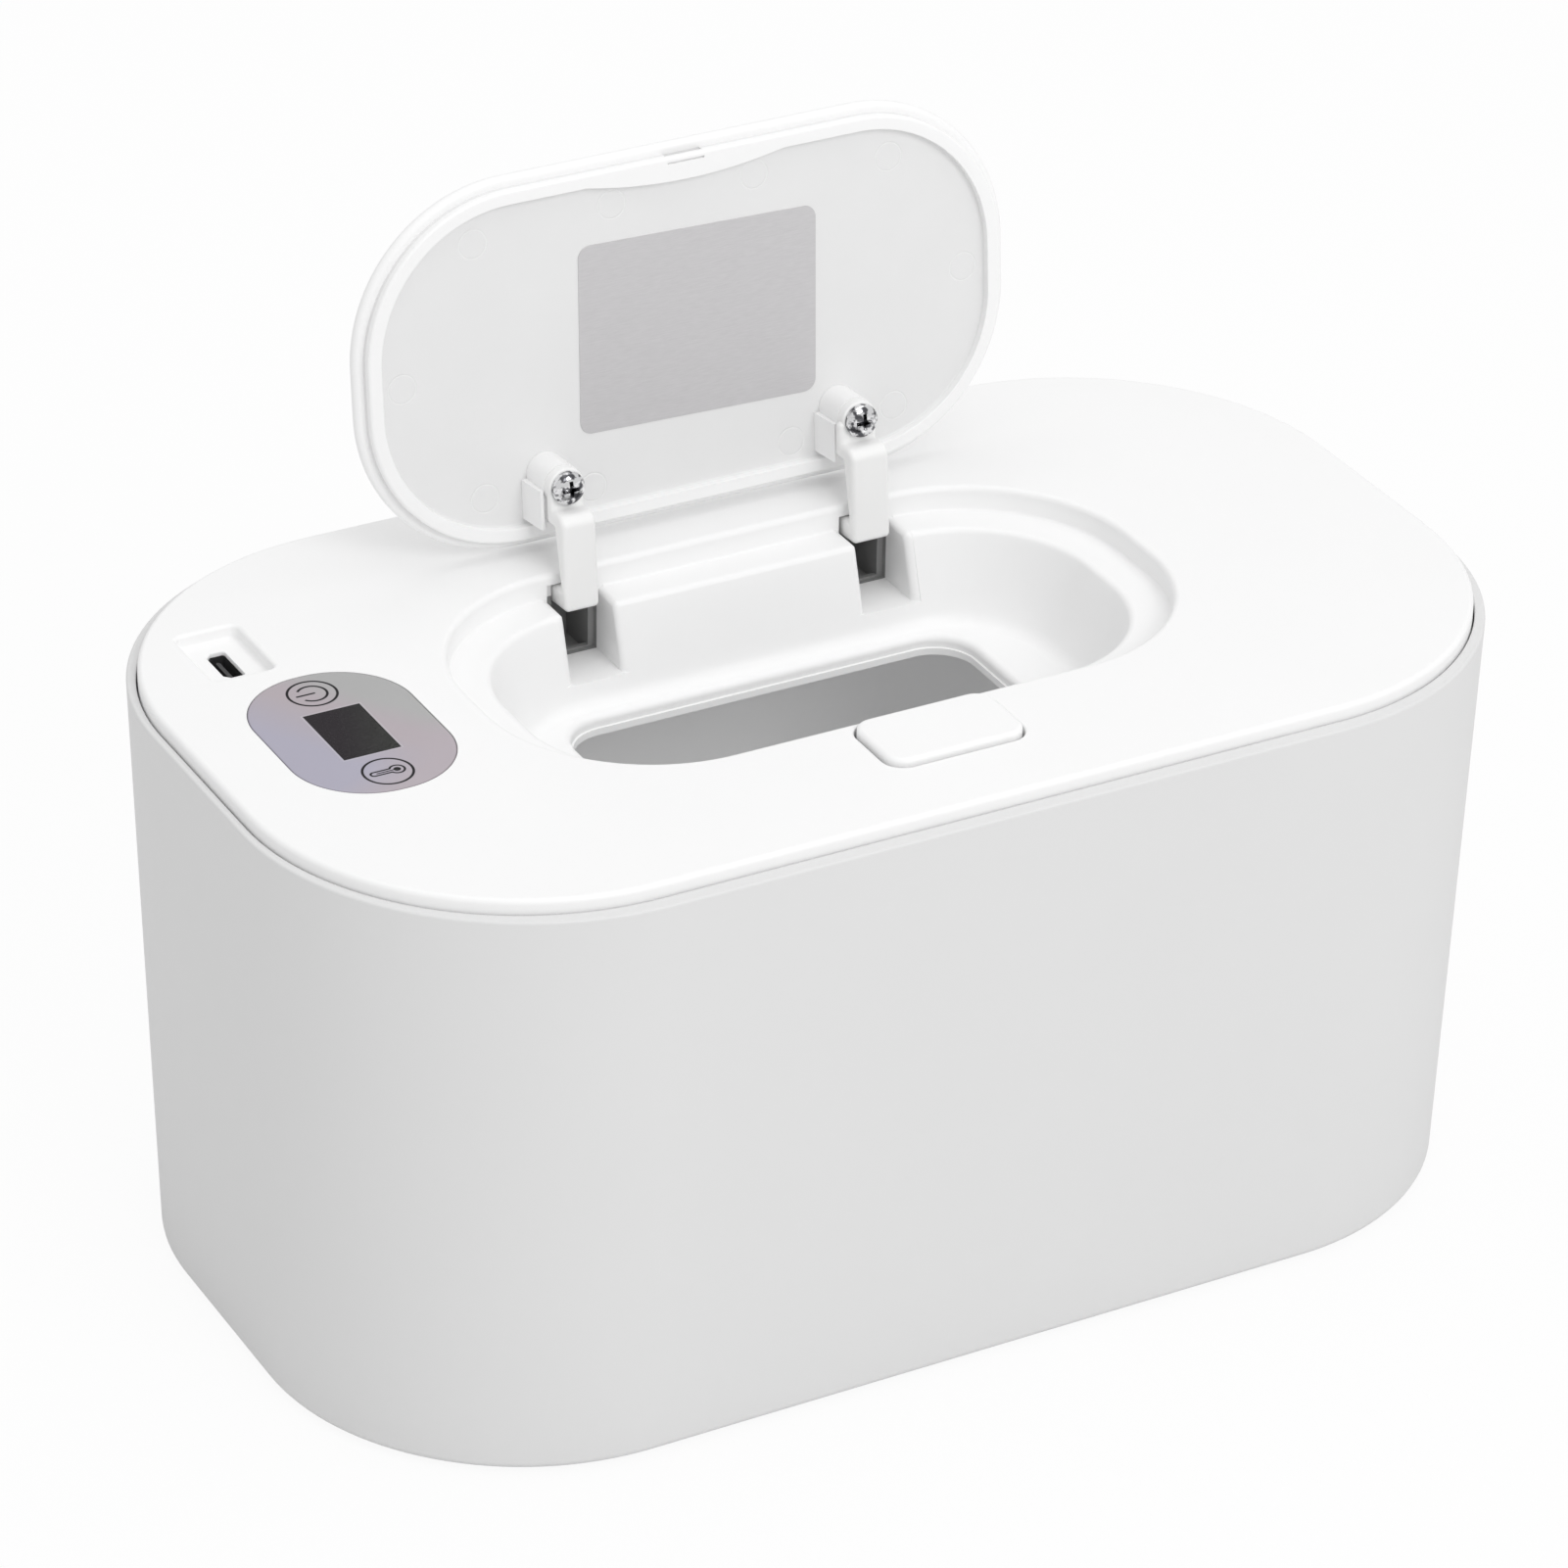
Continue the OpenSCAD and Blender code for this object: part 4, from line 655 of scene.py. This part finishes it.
red_wire = insulation("red_wire", (0.5, 0.03, 0.02))
black_wire = insulation("black_wire", (0.03, 0.03, 0.03))
BOARD_UNDER = 89.7
HEATER_Z = 77.8
heater_paths = [[(-66, y, BOARD_UNDER), (-66, y, HEATER_Z), (-53, y, HEATER_Z), (-53, end, HEATER_Z)]
                for y, end in ((5.5, 7), (18.5, 17))]
wired("warm_wires", heater_paths, 0.6, 1.2, red_wire, "red_wire", "cover", "heater_leads")
SENSOR_HIGH, SENSOR_END = 82.9, 79.9
sensor_paths = [[(-66, y, BOARD_UNDER), (-66, y, SENSOR_HIGH), (-52, y, SENSOR_HIGH), (-52, y, SENSOR_END)]
                for y in (-10.8, -9.2)]
wired("sensor_wires", sensor_paths, 0.4, 1.2, black_wire, "black_wire", "cover", "sensor_leads")

# Control board: green laminate with copper tracks, held to the posts under the panel by
# small steel screws.
board_green = Finish("board_green", Coat_Weight=0.3)
bx, by, _ = board_green.axes()
lines = (bx * 3.1).maths("SINE", bx * 3.1).most((by * 2.3).maths("SINE", by * 2.3))
tracks = 1 - lines.under(0.86, 0.1)
board_green.vary(Base_Color=board_green.mix(tracks, (0.03, 0.14, 0.06), (0.07, 0.26, 0.12)),
                 Roughness=board_green.noise(500) * 0.12 + 0.34, Normal=board_green.bump(tracks, 3e-5))
dressed("control_board", "touch_board", board_green, "board_green", "cover", 0.1)
repeated(screw_form("board_screw", 1.9, 1.3, 1.0, 4.0), "small_screws",
         [(x, y, 88.4) for x, y in board_posts] + [(x, y, 85.2) for x, y in socket_posts],
         steel, "steel", "cover", "board_screws")

# Number display: a black plastic module that is soldered on the board and stands behind
# the lens, unlit.
display_black = plastic("display_black", (0.02, 0.02, 0.024), 0.25, 2e-6)
dressed("display_module", "number_display", display_black, "display_black", "cover", 0.1)

# Touch springs: two coils of drawn steel wire, soldered on the board, that carry the touch
# of the keys to it.
spring_steel = Finish("spring_steel", Metallic=1.0)
drawn = spring_steel.noise(30, 3, 0.6, spring_steel.stretched(60, 60, 400))
spring_steel.vary(Base_Color=spring_steel.mix(drawn, (0.4, 0.4, 0.41), (0.58, 0.58, 0.6)),
                  Roughness=drawn * 0.15 + 0.25, Normal=spring_steel.bump(drawn, 3e-6))


def coil(radius, start, stop, turns, first=0.0, steps=24):
    """Points (along, across, up) of a coil between two places on its axis."""
    count = int(turns * steps)
    return [(start + (stop - start) * i / count, radius * math.cos(a), radius * math.sin(a))
            for i, a in [(i, math.radians(first + 360 * turns * i / count)) for i in range(count + 1)]]


touch_paths = [[(LENS_X + u, y + v, h) for h, u, v in coil(2.65, 91.25, 95.15, 5)] for y in (-12.7, 12.7)]
wired("touch_coils", touch_paths, 0.34, 0, steel, "steel", "cover", "touch_springs")

# Control lens: a printed polycarbonate pill, flush in its seat, with a mauve sheen that
# drifts to pink and grey, a dark display window, a power key and a temperature key.
lens_mauve = Finish("lens_mauve", Specular_IOR_Level=0.12)
lx, ly, _ = lens_mauve.axes()
lx = lx - LENS_X
drift = lx * 0.85 + ly * 0.5 + lens_mauve.noise(70, 3) * 3
base = lens_mauve.mix(drift.under(-1, 9), (0.47, 0.42, 0.45), (0.44, 0.425, 0.51))
base = lens_mauve.mix(drift.under(9, 5), (0.44, 0.44, 0.44), base)
base = lens_mauve.mix((lx * 0.6 - ly).under(13, 8), (0.48, 0.43, 0.465), base)
ink_line = 0.2


def ring_mark(x, y, radius):
    return abs(x.long(y) - radius).under(ink_line, 0.06)


def bar_mark(x, y, start, stop, half):
    """Filled round-ended bar from start to stop along X."""
    along = (x - start).most(0).least(stop - start) + start
    return (x - along).long(y).under(half, 0.06)


px, py = lx + 0.34, ly - 12.78
reach = px.long(py)
ink = ring_mark(px, py, 3.66)
ink = ink.most(ring_mark(px, py, 2.2) * (0 - px / reach).under(0.79, 0.04))
ink = ink.most(bar_mark(px, py, -2.4, 0.3, ink_line))
tx, ty = lx + 0.26, ly + 12.65
ink = ink.most(ring_mark(tx, ty, 3.66))
tube_far = (tx - ((tx + 2.15).most(0).least(3.4) - 2.15)).long(ty) - 0.52
bulb_far = (tx - 1.45).long(ty) - 1.1
ink = ink.most(abs(tube_far.least(bulb_far)).under(0.17, 0.06))
ink = ink.most((tx - 1.45).long(ty).under(0.55, 0.06)).most(bar_mark(tx, ty, -1.7, 1.3, 0.12))
window = (abs(lx) - 4.5).most(abs(ly) - 7.1)
edge_line = 1 - (abs(lx) - 0.5).most(0).long((abs(ly) - 6.2).most(0)).under(11.84, 0.16)
base = lens_mauve.mix(abs(window - 0.18).under(0.1, 0.08) * 0.5, base, (0.6, 0.58, 0.62))
base = lens_mauve.mix(edge_line * 0.6, base, (0.08, 0.075, 0.08))
base = lens_mauve.mix(ink, base, (0.008, 0.007, 0.009))
glass = lens_mauve.mix((lx - ly * 0.3).under(1.5, 7), (0.02, 0.021, 0.019), (0.014, 0.01, 0.014))
glass = lens_mauve.mix(window.under(-0.16, 0.06), (0.004, 0.004, 0.004), glass)
dark = window.under(0, 0.05)
lens_mauve.vary(Base_Color=lens_mauve.mix(dark, base, glass), Metallic=(1 - dark) * (1 - ink) * 0.25,
                Roughness=lens_mauve.noise(900) * 0.06 + 0.34 - dark * 0.1,
                Normal=lens_mauve.bump(lens_mauve.noise(2600, 3), 2e-6))
pill = loft("touch_lens", section(25, 36.4, 12, [(0, SEAT_Z)] + bend(0.15, TOP_Z - 0.15, 0.15, 180, 90, 3),
                                  corner=32, move=(LENS_X, 0)))
settle(smooth(pill), lens_mauve, "lens_mauve", "cover", "control_lens")

# Power socket: a folded metal shell on its own small board, with a black contact tongue.
socket_metal = Finish("socket_metal", Metallic=1.0)
socket_metal.vary(Base_Color=socket_metal.mix(socket_metal.noise(600), (0.3, 0.3, 0.31), (0.42, 0.42, 0.43)),
                  Roughness=socket_metal.noise(1500) * 0.15 + 0.3)
SOCKET_LOW, SOCKET_TOP = 87.7, 94.6
case = loft("socket_case", [socket_mouth(0.3, SOCKET_LOW), socket_mouth(0.3, SOCKET_TOP)])
carve(case, loft("inside", [socket_mouth(0, SOCKET_LOW + 1.2), socket_mouth(0, SOCKET_TOP + 1)]))
settle(smooth(case), socket_metal, "socket_metal", "cover", "usb_socket")
dressed("usb_tongue", "socket_tongue", black_plastic, "black_plastic", "cover", 0.08)
dressed("usb_board", "socket_board", board_green, "board_green", "cover", 0.1)
POWER_Z = 88.6
power_paths = [[(x, 25.6, SOCKET_LOW), (x, 25.6, POWER_Z), (x, 17.4, POWER_Z), (x, 17.4, BOARD_UNDER)]
               for x in (SOCKET_X + 3.4, SOCKET_X + 5.4)]
wired("power_wires", power_paths, 0.4, 0.5, red_wire, "red_wire", "cover", "power_leads")

# Hinge pins: turned steel pins pressed through the cheeks of each bay and the hub of its
# arm.
dressed("hinge_pins", "arm_pins", steel, "steel", "cover", 0.15)

# Hinge springs: torsion springs of steel wire, wound on the pins beside the arms, with one
# leg on the panel and one on the arm.
springs = []
for x in (-ARM_X, ARM_X):
    wound = [(x + 3 + u, HINGE_Y + v, HINGE_Z + w) for u, v, w in coil(1.68, 0.47, 2.53, 2.25, -90)]
    springs.append([(x, HINGE_Y - 3.3, HINGE_Z - 1.45), (x + 3.47, HINGE_Y - 3.3, HINGE_Z - 1.45)] + wound
                   + [(x + 5.53, HINGE_Y + 1.75, HINGE_Z + 2.4)])
wired("torsion_springs", springs, 0.35, 0, spring_steel, "spring_steel", "cover", "hinge_springs")

# Latch: a slider in milky plastic with a nose that catches the lid, held in the well's
# rails and pushed forward by a steel coil.
milky = plastic("natural_plastic", (0.82, 0.82, 0.81), 0.4, 4e-6)
dressed("latch_slider", "latch_slide_bar", milky, "natural_plastic", "latch", 0.15)
wired("slider_coil", [[(u, along, 91.81 + v) for along, u, v in coil(1.24, -46.2, -42.0, 6)]],
      0.24, 0, spring_steel, "spring_steel", "cover", "latch_spring")

# Release button: a white cap moulded with a skirt, a lip that keeps it in the panel, a gap
# over the latch spring and a wedge that draws the slider back.
key = loft("release_key", section(22.4, 13.4, 3, [(0, 94)] + bend(0.7, TOP_Z + 0.3, 0.7, 180, 90), corner=12,
                                  move=(0, BUTTON_Y)))
carve(key, loft("lip", block((-12.3, 12.3), (-45.75, -37.95), (94, 95.2))), "UNION")
carve(key, loft("inside", block((-10, 10), (-43.45, -30), (93, 97))))
carve(key, loft("spring_room", block((-2.3, 2.3), (-46.75, -43.35), (93, 95.3))))
wedge = [(-36.05, 92.11), (-38.55, 94.61), (-38.55, 97.3), (-36.05, 97.3)]
carve(key, loft("wedge", run(wedge, "X", -2.5, 2.5)), "UNION")
settle(smooth(key), panel_white, "panel_white", "button", "release_button")

# Lid skin: a flat white moulding with a fully rounded edge, glued to the liner. It is drawn
# closed and swung open.
HINGE = Vector((0, HINGE_Y * MM, HINGE_Z * MM))
OPEN_DEGREES = 95.1
OPEN = math.radians(-OPEN_DEGREES)
swung = Matrix.Translation(HINGE) @ Matrix.Rotation(OPEN, 4, "X") @ Matrix.Translation(-HINGE)
LID = (110.2, 59.1, 25.8)


def swing(piece):
    """Turns a piece drawn closed to where it stands with the lid open."""
    piece.data.transform(swung)
    return piece


skin_edge = [(1.95, 96.1), (1.95, 95.3)] + bend(1.0, 96.3, 1.0, 270, 90, 12)
skin = loft("lid_shell", section(*LID, skin_edge, corner=32))
settle(swing(smooth(skin)), panel_white, "panel_white", "lid", "lid_skin")

# Lid liner: the white inner moulding with a rim, a finger pad with the latch slot, a post
# for each arm with a rib beside it, and faint marks where the ejector pins pushed it out.
FACE_Z = 94.85
EYE_Y, EYE_Z = 17.9, 87.2
PLATE = 1.7
LINER = (107, 55.9, 24.2)
PAD_HALF, PAD_SAG = 16.5, 1.7
pad_radius = (PAD_HALF ** 2 + PAD_SAG ** 2) / (2 * PAD_SAG)
rim_loops = section(*LINER, [(0.5, 96.1), (0.5, 95.3), (0, 95.3)] + bend(0.5, 93.95, 0.5, 180, 270),
                    corner=32, run=60)
face_loops = section(*LINER, bend(2.05, 93.6, 0.15, 270, 360, 3) + bend(2.5, 94.55, 0.3, 180, 90, 4),
                     corner=32, run=60)
for loop in face_loops:
    for i, (x, y, z) in enumerate(loop):
        if abs(x) < PAD_HALF and y < 0:
            loop[i] = (x, y + math.sqrt(pad_radius ** 2 - x * x) - pad_radius + PAD_SAG, z)
liner = loft("lid_inner", rim_loops + face_loops)
for x in (-ARM_X, ARM_X):
    post = section(6.1, 6.1, 3.0, [(0, EYE_Z + PLATE), (0, FACE_Z + 0.4)], corner=12, move=(x, EYE_Y))
    carve(liner, loft("post", post), "UNION")
    left = x - 2.98
    rib = [(left, 95.2), (left - 1, 95.2), (left - 0.68, 89.25), (left - 0.55, 89.05), (left - 0.1, 89.05),
           (left, 89.15)]
    carve(liner, loft("rib", run(rib, "Y", 18.5, 24.8)), "UNION")
carve(liner, loft("latch_slot", block((-3.1, 3.1), (-28.95, -26.9), (94.35, 95.25))))
carve(liner, loft("latch_slit", block((-3.1, 3.1), (-27.2, -26.9), (92.4, 93.85))))

liner_white = Finish("liner_white")
mx, my, mz = liner_white.axes()
across = (my - HINGE_Y) * math.cos(-OPEN) - (mz - HINGE_Z) * math.sin(-OPEN) + HINGE_Y
height = (my - HINGE_Y) * math.sin(-OPEN) + (mz - HINGE_Z) * math.cos(-OPEN) + HINGE_Z
MARK_R = 2.25
marks = None
for half, y in ((35, -20.3), (35, 20.3), (12, -22), (17, 22.4), (47.6, 0)):
    for x in (-half, half):
        mark = abs((mx - x).long(across - y) - MARK_R).under(0.1, 0.2)
        marks = mark if marks is None else marks.most(mark)
face = 1 - height.under(94.6, 0.3)
etched = liner_white.mix(liner_white.noise(60, 4, 0.6), (0.79, 0.79, 0.79), (0.83, 0.83, 0.83))
etched = liner_white.mix(marks, etched, (0.87, 0.87, 0.87))
liner_white.vary(Base_Color=liner_white.mix(face, PANEL_WHITE, etched),
                 Roughness=face * 0.15 + 0.42,
                 Normal=liner_white.bump(liner_white.noise(5200, 2, 0.6) * 8e-6 - marks * 6e-5, 1.0))
settle(swing(smooth(liner)), liner_white, "liner_white", "lid", "lid_liner")

# Label: a bare silver film with a fine brushed grain and rounded corners, stuck inside the
# lid.
label_silver = Finish("label_silver", Metallic=0.35)
fine = label_silver.noise(6, 3, 0.5, label_silver.stretched(90, 900, 900))
label_silver.vary(Base_Color=label_silver.mix(fine, (0.55, 0.54, 0.55), (0.66, 0.65, 0.66)),
                  Roughness=fine * 0.15 + 0.35, Normal=label_silver.bump(label_silver.noise(3000), 2e-6))
dressed("lid_label", "label_film", label_silver, "label_silver", "lid", 0.04)

# Hinge arms: cranked levers in white plastic with soft corners. An eye is screwed to the
# lid's post, the leg hangs into the notch, and the foot turns up to the hub on the pin.
arm_white = plastic("arm_white", (0.91, 0.91, 0.905), 0.45, 5e-6)
LEG_Y, LEG_Z, FOOT_Y, FOOT = 21.25, 83.4, 36.58, 3.3
arm_side = [(EYE_Y, EYE_Z), (LEG_Y, EYE_Z)] + bend(LEG_Y + 1.8, LEG_Z + 1.8, 1.8, 180, 270)
arm_side += [(FOOT_Y, LEG_Z), (FOOT_Y, HINGE_Z), (FOOT_Y - FOOT, HINGE_Z), (FOOT_Y - FOOT, 85.2),
             (LEG_Y + 2.4, 86.5), (LEG_Y + 2.4, EYE_Z + PLATE), (EYE_Y, EYE_Z + PLATE)]


def lying(x, y, z, radius, width, soft=0.5):
    """Loops of a round rod along X with softened ends."""
    profile = bend(x + soft, radius - soft, soft, 180, 90, 3)
    profile += bend(x + width - soft, radius - soft, soft, 90, 0, 3)
    turns = [2 * math.pi * i / 40 for i in range(40)]
    return [[(along, y + r * math.cos(a), z + r * math.sin(a)) for a in turns] for along, r in profile]


LEG_HALF = 2.85
for name, x, low in (("left", -ARM_X, -LEG_HALF), ("right", ARM_X, -3.6)):
    arm = loft("arm_" + name, run(arm_side, "X", x + low, x + LEG_HALF))
    soft = arm.modifiers.new("corners", "BEVEL")
    soft.width, soft.segments, soft.limit_method = 0.75 * MM, 5, "ANGLE"
    bake(arm)
    eye = loft("eye", section(5.9, 5.9, 2.94, bend(0.4, EYE_Z + 0.42, 0.4, 270, 180, 3) + [(0, EYE_Z + 1.66)],
                              corner=12, move=(x, EYE_Y)))
    carve(arm, eye, "UNION")
    carve(arm, loft("hub", lying(x + low + 0.04, HINGE_Y, HINGE_Z, 2.5, 2.66 - low)), "UNION")
    carve(arm, loft("screw_hole", rod(x, EYE_Y, 1.5, EYE_Z - 1, EYE_Z + 3)))
    carve(arm, loft("pin_hole", lying(x + low - 1, HINGE_Y, HINGE_Z, 1.25, 4.7 - low, 0.1)))
    settle(swing(smooth(arm)), arm_white, "natural_plastic", "lid", "hinge_arm_" + name)

# Lid screws: two chromed Phillips screws with domed heads, driven through the arms' eyes into the lid's
# posts. Their colour carries painted reflections: random blotches of near black and bright.
screw_chrome = Finish("screw_chrome", Metallic=1.0)
# Painted reflections: blotches of dark and bright in the chrome's colour.
painted_reflections = screw_chrome.noise(800, 2).under(0.5, 0.1)
screw_chrome.vary(Base_Color=screw_chrome.mix(painted_reflections, (0.12, 0.12, 0.13), (0.85, 0.85, 0.86)),
                  Roughness=screw_chrome.noise(2500) * 0.08 + 0.06,
                  Normal=screw_chrome.bump(screw_chrome.noise(900), 6e-5))
HEAD = 1.7
heads = [swung @ Vector((x * MM, EYE_Y * MM, (EYE_Z - HEAD) * MM)) / MM for x in (-ARM_X, ARM_X)]
repeated(screw_form("lid_screw", 2.62, HEAD, 1.3, 5.6), "arm_screws", [tuple(p) for p in heads],
         screw_chrome, "screw_chrome", "lid", "lid_screws", turn=-OPEN_DEGREES)

# Studio: a camera at the photograph's place, a white floor, a soft light overhead and a
# large soft one in front. The floor looks plain white and keeps a faint shadow.
lens = bpy.data.cameras.new("photo_camera")
lens.lens, lens.sensor_width, lens.clip_start = 153.13, 36, 0.01
camera = bpy.data.objects.new("photo_camera", lens)
camera_axes = ((0.88025, -0.47426, 0.01550), (0.22419, 0.44445, 0.86730), (-0.41821, -0.75996, 0.49755))
camera.matrix_world = (Matrix.Translation((-0.423020, -0.760469, 0.568177))
                       @ Matrix(camera_axes).transposed().to_4x4())
bpy.context.scene.collection.objects.link(camera)
bpy.context.scene.camera = camera
bpy.context.scene.view_settings.view_transform = "Standard"


def softbox(name, at, size, power):
    lamp = bpy.data.lights.new(name, "AREA")
    lamp.shape, lamp.energy = "RECTANGLE", power
    lamp.size, lamp.size_y = size
    box = bpy.data.objects.new(name, lamp)
    box.location = at
    box.rotation_euler = (Vector((0, 0, 0.08)) - Vector(at)).to_track_quat("-Z", "Y").to_euler()
    bpy.context.scene.collection.objects.link(box)


softbox("top_softbox", (0.1, 0.05, 1.5), (1.6, 1.4), 5.3)
softbox("front_softbox", (0.2, -1.5, 1.25), (1.0, 0.8), 9.6)
world = bpy.data.worlds.new("studio")
bpy.context.scene.world = world
world.use_nodes = True
world.node_tree.nodes["Background"].inputs["Color"].default_value = (1, 1, 1, 1)
world.node_tree.nodes["Background"].inputs["Strength"].default_value = 0.7

floor_white = Finish("floor_white", Base_Color=(0.86, 0.86, 0.86, 1), Roughness=0.9)
glow = floor_white.node("Emission", None, Color=(1, 1, 1, 1), Strength=1)
light_path = floor_white.node("LightPath").outputs
seen = Num(floor_white.tree, light_path["Is Camera Ray"]) * 0.92
blend = floor_white.node("MixShader", None, i0=seen, i1=floor_white.shader.outputs[0], i2=glow.outputs[0])
floor_white.put(floor_white.tree.nodes["Material Output"].inputs[0], blend.outputs[0])
bpy.ops.mesh.primitive_plane_add(size=8)
floor = bpy.context.object
floor.name = "studio_floor"
paint(floor, floor_white)
